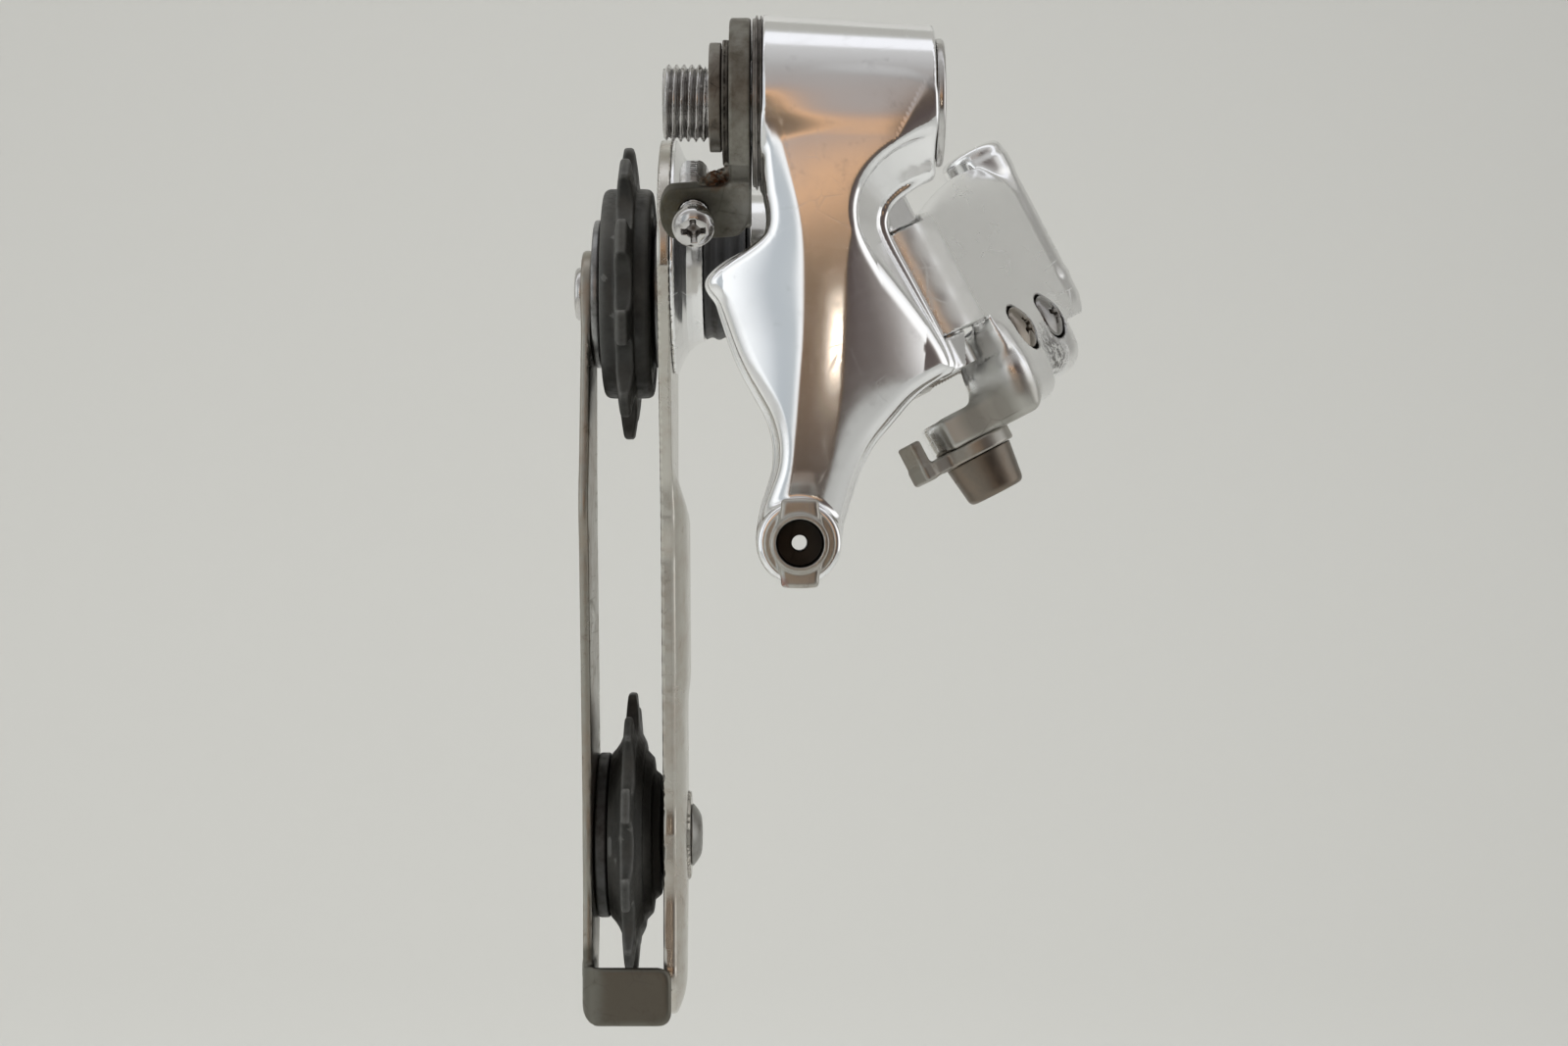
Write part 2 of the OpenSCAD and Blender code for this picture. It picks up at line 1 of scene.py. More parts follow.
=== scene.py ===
# A bicycle rear derailleur, seen from behind.
# Lengths are in mm until a mesh is made. The hanger bolt lies along X, with +X pointing outward.
# +Z is up, and "near" means toward the camera, on the -Y side. The cage hangs below with its
# two pulleys. Pieces are signed distance fields (negative inside), meshed with surface nets.
import math
import bmesh
import bpy
import numpy as np
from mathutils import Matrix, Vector


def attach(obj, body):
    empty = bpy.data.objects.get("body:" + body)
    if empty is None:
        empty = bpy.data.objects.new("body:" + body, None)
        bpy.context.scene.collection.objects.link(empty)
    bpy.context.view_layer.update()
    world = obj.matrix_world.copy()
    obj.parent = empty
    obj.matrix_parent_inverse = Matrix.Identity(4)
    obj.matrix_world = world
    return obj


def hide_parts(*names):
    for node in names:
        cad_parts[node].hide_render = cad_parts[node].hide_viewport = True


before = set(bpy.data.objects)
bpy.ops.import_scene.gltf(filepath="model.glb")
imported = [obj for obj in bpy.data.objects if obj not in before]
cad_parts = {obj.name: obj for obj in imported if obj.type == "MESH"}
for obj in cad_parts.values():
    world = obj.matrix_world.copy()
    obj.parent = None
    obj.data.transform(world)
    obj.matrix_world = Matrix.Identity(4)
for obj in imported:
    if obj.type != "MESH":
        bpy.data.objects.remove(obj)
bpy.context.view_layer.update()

MM = 0.001
COARSE = 1.0     # grid step multiplier

# The four link pins lean by SLANT. "across" runs across that lean and "down" runs down the pins.
SLANT = math.radians(27.5)
# Both links swing by LINK_ANGLE in the plane of across and y.
LINK_ANGLE = math.radians(62.9)
LINK_LENGTH = 40.0
REAR_Y = 5.0
OUTER_REAR, INNER_REAR = 14.0, -6.0      # rear pins, across
FRONT_Y = REAR_Y + LINK_LENGTH * math.sin(LINK_ANGLE)
OUTER_FRONT = OUTER_REAR + LINK_LENGTH * math.cos(LINK_ANGLE)
INNER_FRONT = INNER_REAR + LINK_LENGTH * math.cos(LINK_ANGLE)
ADJUSTER_X, ADJUSTER_Z = 11.7, -57.4     # cable adjuster axis, along Y
LIMIT_DOWN = 44.6                        # limit screws, down
HIGH_RUN, LOW_RUN = 13.6, 25.3           # limit screws, along the outer link
ANCHOR_ACROSS, ANCHOR_Y = 10.98, 14.02   # lug for the cable anchor
ANCHOR_RUN, ANCHOR_OFF = 6.65, 6.8       # anchor bolt, in the link's frame
PIVOT_Y, PIVOT_Z = 39.5, -16.2           # cage pivot, along X like both pulleys
GUIDE_Y, GUIDE_Z = 47.6, -20.8
TENSION_Y, TENSION_Z = 56.4, -102.4
GAP_OUTER_X, GAP_INNER_X = -8.1, -18.4   # the gap between the cage plates
PULLEY_X = (GAP_OUTER_X + GAP_INNER_X) / 2
CHAIN_PITCH, TEETH = 12.7, 10
PITCH_RADIUS = CHAIN_PITCH / (2 * math.sin(math.pi / TEETH))


# ---------------------------------------------------------------- distance fields
def length(*parts):
    return np.sqrt(sum(part * part for part in parts))


def smin(one, two, blend):
    """Union, rounded over the blend width."""
    mix = np.clip(0.5 + 0.5 * (two - one) / blend, 0, 1)
    return two + (one - two) * mix - blend * mix * (1 - mix)


def smax(one, two, blend):
    """Intersection, rounded over the blend width."""
    return -smin(-one, -two, blend)


def cut(shape, tool, blend):
    return smax(shape, -tool, blend)


def bore(shape, a, b, radius, blend):
    """Cuts a round hole; a and b are the distances across its axis."""
    return cut(shape, length(a, b) - radius, blend)


def box(x, y, z, x_range, y_range, z_range, edge=0.3):
    """A box between the given ranges, with its edges rounded."""
    sides = [np.abs(value - (low + high) / 2) - (high - low) / 2 + edge
             for value, (low, high) in ((x, x_range), (y, y_range), (z, z_range))]
    inside = np.minimum(np.maximum(np.maximum(sides[0], sides[1]), sides[2]), 0)
    return length(*[np.maximum(side, 0) for side in sides]) + inside - edge


def extrude(outline, along, start, end, edge=0.3):
    """A 2D distance pulled from start to end, with its edges rounded."""
    side = outline + edge
    cap = np.abs(along - (start + end) / 2) - (end - start) / 2 + edge
    outside = length(np.maximum(side, 0), np.maximum(cap, 0))
    return outside + np.minimum(np.maximum(side, cap), 0) - edge


def rod(a, b, along, radius, start, end, edge=0.3):
    return extrude(length(a, b) - radius, along, start, end, edge)


def bar(a, b, start, end, start_radius, end_radius):
    """Distance to a tapered 2D bar with round ends."""
    da, db = end[0] - start[0], end[1] - start[1]
    part = ((a - start[0]) * da + (b - start[1]) * db) / (da * da + db * db)
    part = np.clip(part, 0, 1)
    radius = start_radius + (end_radius - start_radius) * part
    return length(a - start[0] - part * da, b - start[1] - part * db) - radius


def chaikin(points, rounds=2):
    """Cuts the corners of a closed outline."""
    points = np.array(points, float)
    for _ in range(rounds):
        after = np.roll(points, -1, axis=0)
        pairs = [0.75 * points + 0.25 * after, 0.25 * points + 0.75 * after]
        points = np.stack(pairs, 1).reshape(-1, 2)
    return points


def polygon_distance(px, py, points):
    nearest = np.full(px.shape, 1e9)
    sign = np.ones(px.shape)
    for i in range(len(points)):
        ax, ay = points[i]
        bx, by = points[i - 1]
        ex, ey = bx - ax, by - ay
        wx, wy = px - ax, py - ay
        part = np.clip((wx * ex + wy * ey) / (ex * ex + ey * ey + 1e-12), 0, 1)
        nearest = np.minimum(nearest, (wx - part * ex) ** 2 + (wy - part * ey) ** 2)
        above, below, left = py >= ay, py < by, ex * wy > ey * wx
        crossing = (above & below & left) | (~above & ~below & ~left)
        sign = np.where(crossing, -sign, sign)
    return sign * np.sqrt(nearest)


class OutlineTable:
    """A smooth 2D lookup of the signed distance to an outline."""

    def __init__(self, points, pad, step, blur):
        points = np.array(points, float)
        self.low = points.min(0) - pad
        self.step = step
        count = np.ceil((points.max(0) + pad - self.low) / step).astype(int) + 1
        axes = [self.low[i] + np.arange(count[i]) * step for i in (0, 1)]
        table = polygon_distance(*np.meshgrid(*axes, indexing="ij"), points)
        for _ in range(blur):
            wide = np.pad(table, 1, mode="reflect", reflect_type="odd")
            table = (wide[:-2, 1:-1] + wide[2:, 1:-1] + wide[1:-1, :-2] + wide[1:-1, 2:]
                     + 2 * wide[1:-1, 1:-1]) / 6
        self.table = table

    def locate(self, value, axis):
        """The cell index and the four Catmull-Rom weights."""
        place = (value - self.low[axis]) / self.step
        place = np.clip(place, 1, self.table.shape[axis] - 3.001)
        index = place.astype(int)
        f = place - index
        return index, (-0.5 * f + f * f - 0.5 * f ** 3, 1 - 2.5 * f * f + 1.5 * f ** 3,
                       0.5 * f + 2 * f * f - 1.5 * f ** 3, -0.5 * f * f + 0.5 * f ** 3)

    def __call__(self, x, y):
        ix, x_weights = self.locate(*np.broadcast_arrays(x, y)[:1], 0)
        iy, y_weights = self.locate(*np.broadcast_arrays(x, y)[1:], 1)
        total = 0
        for i in range(4):
            row = 0
            for j in range(4):
                row = row + y_weights[j] * self.table[ix + i - 1, iy + j - 1]
            total = total + x_weights[i] * row
        return total


def curve(x, stations, values):
    """Smooth interpolation through points, with continuous slope."""
    stations, values = np.array(stations, float), np.array(values, float)
    slopes = np.gradient(values, stations)
    x = np.clip(x, stations[0], stations[-1])
    i = np.clip(np.searchsorted(stations, x) - 1, 0, len(stations) - 2)
    gap = stations[i + 1] - stations[i]
    t = (x - stations[i]) / gap
    return ((1 + 2 * t) * (1 - t) ** 2 * values[i] + t * (1 - t) ** 2 * gap * slopes[i]
            + t * t * (3 - 2 * t) * values[i + 1] + t * t * (t - 1) * gap * slopes[i + 1])


# ---------------------------------------------------------------- frames
def turned(a, b, angle):
    """The point (a, b) measured in axes turned by an angle."""
    cos, sin = math.cos(angle), math.sin(angle)
    return cos * a + sin * b, -sin * a + cos * b


def slant_frame(x, z):
    """(across, down) of a point."""
    across, up = turned(x, z, SLANT)
    return across, -up


def link_frame(x, y, z, rear_across):
    """(across, y, run, off, down): run goes from rear pin to front pin, -off is outward."""
    x, y, z = np.broadcast_arrays(x, y, z)
    across, down = slant_frame(x, z)
    run, off = turned(across - rear_across, y - REAR_Y, LINK_ANGLE)
    return across, y, run, off, down


def from_slant(across, down):
    return turned(across, -down, -SLANT)


def from_outer_link(run, off, down):
    """The x, y, z of a point in the outer link's frame."""
    across, y = turned(run, off, -LINK_ANGLE)
    x, z = from_slant(OUTER_REAR + across, down)
    return x, REAR_Y + y, z


def link_box(runs, offs, downs, pad=0.3):
    """Corners of the x, y, z box round a box in the outer link's frame."""
    points = np.array([from_outer_link(a, b, c) for a in runs for b in offs for c in downs])
    return tuple(points.min(0) - pad), tuple(points.max(0) + pad)


# ---------------------------------------------------------------- meshing
def surface_nets(field, low, high, step):
    """Meshes the zero level: naive surface nets, then Newton steps onto the true surface."""
    low = np.array(low, float)
    count = np.ceil((np.array(high) - low) / step).astype(int) + 1
    axes = [low[i] + np.arange(count[i]) * step for i in range(3)]
    values = np.empty(count, np.float32)
    chunk = max(1, int(400000 / (count[1] * count[2])))
    for i in range(0, count[0], chunk):
        values[i:i + chunk] = field(axes[0][i:i + chunk, None, None],
                                    axes[1][None, :, None], axes[2][None, None, :])
    solid_points = values < 0
    corners = np.zeros(count - 1, np.int8)
    for i in (0, 1):
        for j in (0, 1):
            for k in (0, 1):
                corners += solid_points[i:count[0] - 1 + i, j:count[1] - 1 + j,
                                        k:count[2] - 1 + k]
    active = (corners > 0) & (corners < 8)
    cells = np.argwhere(active)
    index = np.full(active.shape, -1, np.int64)
    index[active] = np.arange(len(cells))

    # A vertex sits at the mean of the crossings on its cell's edges.
    total, crossings = np.zeros((len(cells), 3)), np.zeros(len(cells))
    for axis in range(3):
        for i in (0, 1):
            for j in (0, 1):
                offset = np.zeros(3, int)
                offset[(axis + 1) % 3], offset[(axis + 2) % 3] = i, j
                start = cells + offset
                end = start.copy()
                end[:, axis] += 1
                first, last = values[tuple(start.T)], values[tuple(end.T)]
                crossed = (first < 0) != (last < 0)
                part = np.where(crossed, first / np.where(crossed, first - last, 1), 0)
                point = start.astype(float)
                point[:, axis] += part
                total[crossed] += point[crossed]
                crossings[crossed] += 1
    vertices = low + step * total / crossings[:, None]

    quads = []
    for axis in range(3):
        b, c = (axis + 1) % 3, (axis + 2) % 3
        lower, upper = [slice(None)] * 3, [slice(None)] * 3
        lower[axis], upper[axis] = slice(0, -1), slice(1, None)
        starts = solid_points[tuple(lower)]
        edges = np.argwhere(starts != solid_points[tuple(upper)])
        edges = edges[(edges[:, b] > 0) & (edges[:, c] > 0)
                      & (edges[:, b] < count[b] - 1) & (edges[:, c] < count[c] - 1)]
        ring = []
        for b_shift, c_shift in ((-1, -1), (0, -1), (0, 0), (-1, 0)):
            cell = edges.copy()
            cell[:, b] += b_shift
            cell[:, c] += c_shift
            ring.append(index[tuple(cell.T)])
        ring = np.stack(ring, 1)
        flip = ~starts[tuple(edges.T)]
        ring[flip] = ring[flip][:, ::-1]
        quads.append(ring)

    probe = 0.02

    def gradient(points):
        slope = np.empty_like(points)
        for axis in range(3):
            shift = np.zeros(3)
            shift[axis] = probe
            rise = field(*(points + shift).T) - field(*(points - shift).T)
            slope[:, axis] = rise / (2 * probe)
        return slope

    for _ in range(3):
        slope = gradient(vertices)
        square = np.maximum((slope * slope).sum(1), 0.05)
        move = (field(*vertices.T) / square)[:, None] * slope
        size = np.linalg.norm(move, axis=1, keepdims=True)
        vertices = vertices - move * np.minimum(1, 0.4 * step / np.maximum(size, 1e-9))
    slope = gradient(vertices)
    normals = slope / np.maximum(np.linalg.norm(slope, axis=1, keepdims=True), 1e-9)
    return vertices, np.concatenate(quads), normals


def add_object(name, mesh):
    ob = bpy.data.objects.new(name, mesh)
    bpy.context.scene.collection.objects.link(ob)
    return ob


def register(ob, body, material, slot, node):
    """Dresses a piece, ties it to its body and lets it stand for its CAD node."""
    ob.data.materials.append(MATERIALS[material])
    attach(ob, body)
    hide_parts(node)


def solid(name, field, low, high, step, body, material, slot, node):
    """A closed piece meshed from a field between two corners."""
    vertices, quads, normals = surface_nets(field, low, high, step)
    mesh = bpy.data.meshes.new(name)
    mesh.from_pydata((vertices * MM).tolist(), [], quads.tolist())
    mesh.update()
    mesh.polygons.foreach_set("use_smooth", np.ones(len(quads), bool))
    ob = add_object(name, mesh)
    mesh.normals_split_custom_set_from_vertices(normals.tolist())
    register(ob, body, material, slot, node)


# ---------------------------------------------------------------- shader nodes
def opaque(colour):
    """Greys and RGB tuples become RGBA; sockets pass through."""
    if isinstance(colour, (int, float)):
        return (colour, colour, colour, 1)
    return (*colour, 1) if isinstance(colour, tuple) else colour


def shade(colour, factor, lift=0.0):
    return tuple(min(1, part * factor + lift) for part in colour)


class Nodes:
    """Adds nodes to a tree. Inputs take a socket or a value."""

    def __init__(self, tree):
        self.tree = tree

    def put(self, value, socket):
        if hasattr(value, "is_linked"):
            self.tree.links.new(value, socket)
        else:
            socket.default_value = value

    def add(self, kind, inputs, **settings):
        """Inputs set to None are left alone."""
        node = self.tree.nodes.new(kind)
        for key, value in settings.items():
            setattr(node, key, value)
        for key, value in inputs.items():
            if value is not None:
                self.put(value, node.inputs[key])
        return node

    def surface(self, **inputs):
        """Sets inputs of the Principled BSDF; underscores stand for spaces."""
        for key, value in inputs.items():
            self.put(value, self.surface_input(key.replace("_", " ")))

    def surface_input(self, key):
        return self.tree.nodes["Principled BSDF"].inputs[key]

    def math(self, operation, a, b=None, clamp=False):
        return self.add("ShaderNodeMath", {0: a, 1: b}, operation=operation,
                        use_clamp=clamp).outputs[0]

    def times(self, a, b):
        return self.math("MULTIPLY", a, b)

    def plus(self, a, b):
        return self.math("ADD", a, b)

    def mix(self, factor, a, b, blend="MIX"):
        return self.add("ShaderNodeMix", {0: factor, 6: opaque(a), 7: opaque(b)},
                        data_type="RGBA", blend_type=blend).outputs[2]

    def ramp(self, value, stops):
        node = self.add("ShaderNodeValToRGB", {0: value})
        elements = node.color_ramp.elements
        while len(elements) < len(stops):
            elements.new(0.5)
        for element, (position, colour) in zip(elements, stops):
            element.position = position
            element.color = opaque(colour)
        return node.outputs[0]

    def object_coords(self):
        return self.add("ShaderNodeTexCoord", {}).outputs["Object"]

    def coords(self, scale=(1, 1, 1), rotation=(0, 0, 0)):
        return self.add("ShaderNodeMapping", {0: self.object_coords(), "Scale": scale,
                                              "Rotation": rotation}).outputs[0]

    def noise(self, vector, scale, detail=4, rough=0.6):
        return self.add("ShaderNodeTexNoise", {
            "Vector": vector, "Scale": scale, "Detail": detail, "Roughness": rough,
        }).outputs["Fac"]

    def bump(self, height, strength, distance, normal=None):
        return self.add("ShaderNodeBump", {
            "Strength": strength, "Distance": distance, "Height": height, "Normal": normal,
        }).outputs[0]

    def pointiness(self):
        return self.add("ShaderNodeNewGeometry", {}).outputs["Pointiness"]

    def scratches(self):
        """Thin straight scratches in three directions, as a 0..1 mask."""
        scale, stretch, width = 220, 30, 0.03
        mask = None
        for i, rotation in enumerate([(0, 0, 0.3), (0.5, 0.2, 1.4), (1.2, 0.9, 2.3)]):
            cell = self.add("ShaderNodeTexVoronoi", {
                "Vector": self.coords((scale, scale / stretch, scale), rotation),
                "Scale": 1.0}, feature="DISTANCE_TO_EDGE")
            line = self.ramp(cell.outputs["Distance"], [(0, 1), (width, 0)])
            gate = self.noise(self.coords(rotation=rotation), 90 + 17 * i, detail=2)
            line = self.times(line, self.ramp(gate, [(0.56, 0), (0.64, 1)]))
            mask = line if mask is None else self.math("MAXIMUM", mask, line)
        return mask


# ---------------------------------------------------------------- materials
MATERIALS = {}


def new_material(name):
    MATERIALS[name] = material = bpy.data.materials.new(name)
    material.use_nodes = True
    return Nodes(material.node_tree)


def metal(name, colour, rough, variation, smudge, scratch, bump,
          stain=None, brush=None, dark=0.0, metallic=1.0, cavity=0.0):
    t = new_material(name)
    base = t.coords()
    broad = t.noise(base, scale=60, detail=5, rough=0.6)
    fine = t.noise(base, scale=420, detail=6, rough=0.65)
    grain = t.noise(base, scale=2200, detail=3, rough=0.5)
    smears = t.times(t.ramp(broad, [(0.35, 0), (0.7, 1)]), smudge)
    tint = t.mix(smears, colour, shade(colour, 0.82))
    if stain:
        blotches = t.plus(t.times(broad, 0.6), t.times(fine, 0.4))
        blotches = t.times(t.ramp(blotches, [(0.46, 0), (0.62, 1)]), stain[3])
        tint = t.mix(blotches, tint, stain[:3])
    if dark:
        specks = t.times(t.ramp(fine, [(0.6, 0), (0.72, 1)]), dark)
        tint = t.mix(specks, tint, (0.05, 0.045, 0.04))
    roughness = t.plus(rough, t.times(t.ramp(broad, [(0.3, 0), (0.75, 1)]), variation))
    roughness = t.plus(roughness, t.times(t.ramp(fine, [(0.45, 0), (0.8, 1)]), variation))
    lines = t.scratches()
    roughness = t.plus(roughness, t.times(lines, 0.25 * scratch))
    normal = t.bump(lines, strength=0.25 * scratch, distance=-0.00002)
    if brush:
        amount, axis = brush
        stretch = [2600, 2600, 2600]
        stretch[axis] = 60
        strokes = t.noise(t.coords(tuple(stretch)), scale=1.0, detail=3, rough=0.6)
        roughness = t.plus(roughness, t.times(strokes, 0.2 * amount))
        normal = t.bump(strokes, strength=0.35 * amount, distance=0.00002, normal=normal)
        tint = t.mix(t.times(strokes, 0.25 * amount), tint, shade(colour, 0.7))
    normal = t.bump(t.plus(fine, t.times(grain, 0.4)), strength=bump, distance=0.00003,
                    normal=normal)
    if cavity:
        hollows = t.times(t.ramp(t.pointiness(), [(0.40, 1), (0.492, 0)]), cavity)
        tint = t.mix(hollows, tint, (0.035, 0.028, 0.022))
        roughness = t.plus(roughness, t.times(hollows, 0.3))
    t.surface(Base_Color=tint, Roughness=t.math("MINIMUM", roughness, 1.0),
              Metallic=metallic, Normal=normal)


def plastic(name, colour, rough, grime, grime_amount, bump, wear):
    """Grime lies in broad blotches, and wear lightens the edges."""
    t = new_material(name)
    base = t.coords()
    broad = t.noise(base, scale=130, detail=6, rough=0.65)
    fine = t.noise(base, scale=900, detail=5, rough=0.6)
    turning = t.noise(t.coords((200, 1200, 1200)), scale=1.0, detail=3, rough=0.6)
    blotches = t.times(t.ramp(broad, [(0.42, 0), (0.66, 1)]), grime_amount)
    tint = t.mix(blotches, colour, grime)
    edges = t.times(t.ramp(t.pointiness(), [(0.505, 0), (0.57, 1)]), wear)
    tint = t.mix(edges, tint, shade(colour, 2.2, lift=0.05))
    roughness = t.plus(rough, t.times(t.ramp(fine, [(0.4, 0), (0.7, 1)]), 0.22))
    normal = t.bump(t.plus(fine, t.times(turning, 0.6)), strength=bump, distance=0.00006)
    t.surface(Base_Color=tint, Roughness=roughness, Normal=normal)


# Columns: name, colour, (roughness, its variation, smudge, scratches, bump), extras.
# Extras: stain is red, green, blue, amount; brush is strength, axis; dark is specks;
# cavity is dirt in hollows.
METALS = [
    ("polished_aluminium", (0.90, 0.90, 0.91), (0.10, 0.06, 0.12, 0.3, 0.06), dict(dark=0.1)),
    ("polished_aluminium_worn", (0.88, 0.88, 0.88), (0.13, 0.07, 0.2, 1.0, 0.09),
     dict(dark=0.25)),
    ("polished_aluminium_scuffed_and_shaded", (0.88, 0.88, 0.88), (0.12, 0.06, 0.15, 0.9, 0.06), {}),
    ("cage_plate_aluminium", (0.57, 0.55, 0.505), (0.15, 0.10, 0.3, 0.5, 0.12),
     dict(stain=(0.40, 0.31, 0.24, 0.4), dark=0.3)),
    ("satin_aluminium", (0.74, 0.73, 0.71), (0.28, 0.12, 0.3, 0.5, 0.2),
     dict(stain=(0.45, 0.38, 0.3, 0.25))),
    ("plated_screw", (0.62, 0.61, 0.60), (0.10, 0.08, 0.3, 0.6, 0.2),
     dict(stain=(0.2, 0.15, 0.11, 0.35), dark=0.35)),
    ("grimy_steel", (0.30, 0.285, 0.255), (0.32, 0.2, 0.6, 0.9, 0.7),
     dict(stain=(0.13, 0.10, 0.075, 0.75), dark=0.6, brush=(0.5, 1))),
    ("thread_steel", (0.60, 0.59, 0.58), (0.14, 0.12, 0.4, 0.3, 0.3),
     dict(stain=(0.12, 0.09, 0.07, 0.35), dark=0.12, cavity=1.0)),
    ("anchor_steel", (0.18, 0.157, 0.132), (0.25, 0.12, 0.35, 0.8, 0.2),
     dict(stain=(0.3, 0.22, 0.16, 0.4), dark=0.2, brush=(0.35, 2))),
    ("spring_steel", (0.30, 0.30, 0.31), (0.25, 0.15, 0.4, 0.3, 0.3), dict(dark=0.4)),
    ("bronze_bush", (0.62, 0.46, 0.24), (0.35, 0.15, 0.4, 0.3, 0.4), dict(dark=0.3)),
    ("pulley_cap_steel", (0.36, 0.36, 0.36), (0.3, 0.2, 0.5, 0.8, 0.4),
     dict(stain=(0.06, 0.055, 0.05, 0.7), dark=0.5)),
    ("plated_screw_b", (0.60, 0.59, 0.58), (0.10, 0.08, 0.3, 0.6, 0.2),
     dict(stain=(0.2, 0.15, 0.11, 0.4), dark=0.3, cavity=0.8)),
    ("plated_screw_h", (0.27, 0.245, 0.215), (0.13, 0.08, 0.3, 0.6, 0.2),
     dict(stain=(0.2, 0.15, 0.11, 0.4), dark=0.3, cavity=0.8)),
    ("plated_screw_l", (0.30, 0.295, 0.29), (0.12, 0.08, 0.3, 0.6, 0.2),
     dict(stain=(0.2, 0.15, 0.11, 0.3), dark=0.3, cavity=0.8)),
    ("greasy_washer", (0.16, 0.145, 0.125), (0.45, 0.2, 0.6, 0.2, 0.8),
     dict(stain=(0.05, 0.045, 0.04, 0.8), dark=0.5, metallic=0.7)),
    ("dust_cover_steel", (0.30, 0.28, 0.26), (0.25, 0.15, 0.5, 0.3, 0.3),
     dict(stain=(0.07, 0.06, 0.05, 0.8), dark=0.6)),
    ("zinc_plate_grimy", (0.27, 0.26, 0.23), (0.36, 0.15, 0.6, 0.6, 0.6),
     dict(stain=(0.12, 0.10, 0.075, 0.85), dark=0.6, brush=(0.6, 2))),
    ("adjuster_aluminium", (0.45, 0.44, 0.41), (0.24, 0.12, 0.3, 0.6, 0.2),
     dict(stain=(0.35, 0.28, 0.22, 0.35), dark=0.35)),
    ("anchor_hook_plate", (0.38, 0.365, 0.335), (0.26, 0.15, 0.4, 0.6, 0.3),
     dict(stain=(0.28, 0.2, 0.12, 0.4), dark=0.25)),
    ("hub_aluminium", (0.86, 0.86, 0.86), (0.14, 0.08, 0.25, 0.6, 0.1), dict(dark=0.3)),
    ("cage_plate_inner", (0.36, 0.345, 0.305), (0.24, 0.14, 0.4, 0.7, 0.25),
     dict(stain=(0.33, 0.25, 0.19, 0.5), dark=0.45)),
    ("pulley_bolt_dull", (0.30, 0.295, 0.28), (0.28, 0.12, 0.4, 0.6, 0.3),
     dict(stain=(0.12, 0.1, 0.08, 0.5), dark=0.4)),
    ("pulley_cap_dark", (0.10, 0.10, 0.10), (0.4, 0.2, 0.5, 0.5, 0.5),
     dict(stain=(0.04, 0.035, 0.03, 0.6), dark=0.5)),
    ("ground_pin_steel", (0.66, 0.66, 0.65), (0.16, 0.08, 0.2, 0.4, 0.1),
     dict(brush=(0.3, 2), dark=0.2)),
]
for metal_name, metal_colour, finish, extras in METALS:
    metal(metal_name, metal_colour, *finish, **extras)
plastic("pulley_resin", (0.018, 0.018, 0.016), rough=0.48, grime=(0.06, 0.057, 0.05),
        grime_amount=0.45, bump=0.7, wear=0.8)
plastic("black_seal", (0.012, 0.012, 0.013), rough=0.35, grime=(0.05, 0.045, 0.04),
        grime_amount=0.4, bump=0.4, wear=0.4)


def patch(name, centre, core, reach, colour, amount, rough, mask=(1, 1, 1), speckle=0.0,
          pit=0.0):
    """Tints a material round a point, fully inside core and fading out at reach.

    The mask scales each axis, and a zero turns the ball into a cylinder.
    """
    material = MATERIALS[name]
    t = Nodes(material.node_tree)

    def current(key):
        return t.surface_input(key).links[0].from_socket

    away = t.add("ShaderNodeVectorMath", {0: t.object_coords(), 1: [c * MM for c in centre]},
                 operation="SUBTRACT").outputs[0]
    away = t.add("ShaderNodeVectorMath", {0: away, 1: mask}, operation="MULTIPLY").outputs[0]
    away = t.add("ShaderNodeVectorMath", {0: away}, operation="LENGTH").outputs["Value"]
    weight = t.ramp(t.math("DIVIDE", away, reach * MM * 2), [(0.5 * core / reach, 1), (0.5, 0)])
    if speckle:
        grains = t.noise(t.coords(), scale=1300, detail=5, rough=0.7)
        stops = [(0.5 - 0.1 * speckle, 0), (0.5 + 0.1 * speckle, 1)]
        weight = t.times(weight, t.ramp(grains, stops))
    weight = t.times(weight, amount)
    roughness = t.plus(current("Roughness"), t.times(weight, rough))
    t.surface(Base_Color=t.mix(weight, current("Base Color"), colour),
              Roughness=t.math("MINIMUM", roughness, 1.0))
    if pit:
        t.surface(Normal=t.bump(weight, strength=pit, distance=-0.00012,
                                normal=current("Normal")))


# ---------------------------------------------------------------- upper body
# Outlines of the hanging plate as x, z: at its far edge and at its near face.
FAR_OUTLINE = [
    (7.0, 2), (7.1, -12), (7.7, -14.7), (7.6, -17.2), (6.7, -18.3), (4.9, -19.6),
    (2.0, -21.1), (-0.3, -23.1), (-0.35, -24.6), (1.1, -26.3), (1.4, -27.5), (3.6, -34.1),
    (6.2, -38.8), (7.7, -41.4), (8.6, -44.7), (8.5, -47.8), (7.7, -50.5), (6.7, -53.4),
    (6.4, -57.4), (7.4, -60.6), (9.6, -62.4), (12.2, -62.8), (14.8, -61.9), (16.5, -59.4),
    (17.0, -56.2), (18, -52.7), (19.2, -48.8), (20.2, -46.6), (21.5, -44.3), (23.7, -41.8),
    (26, -39), (27.9, -37.3), (29.7, -36.1), (31.9, -34.9), (31.4, -33.2), (30.3, -30.8),
    (26.6, -23.8), (23.2, -17.6), (22.8, -15.4), (23.8, -13.2), (27, -11), (29.15, -9.6),
    (29.15, 2)]
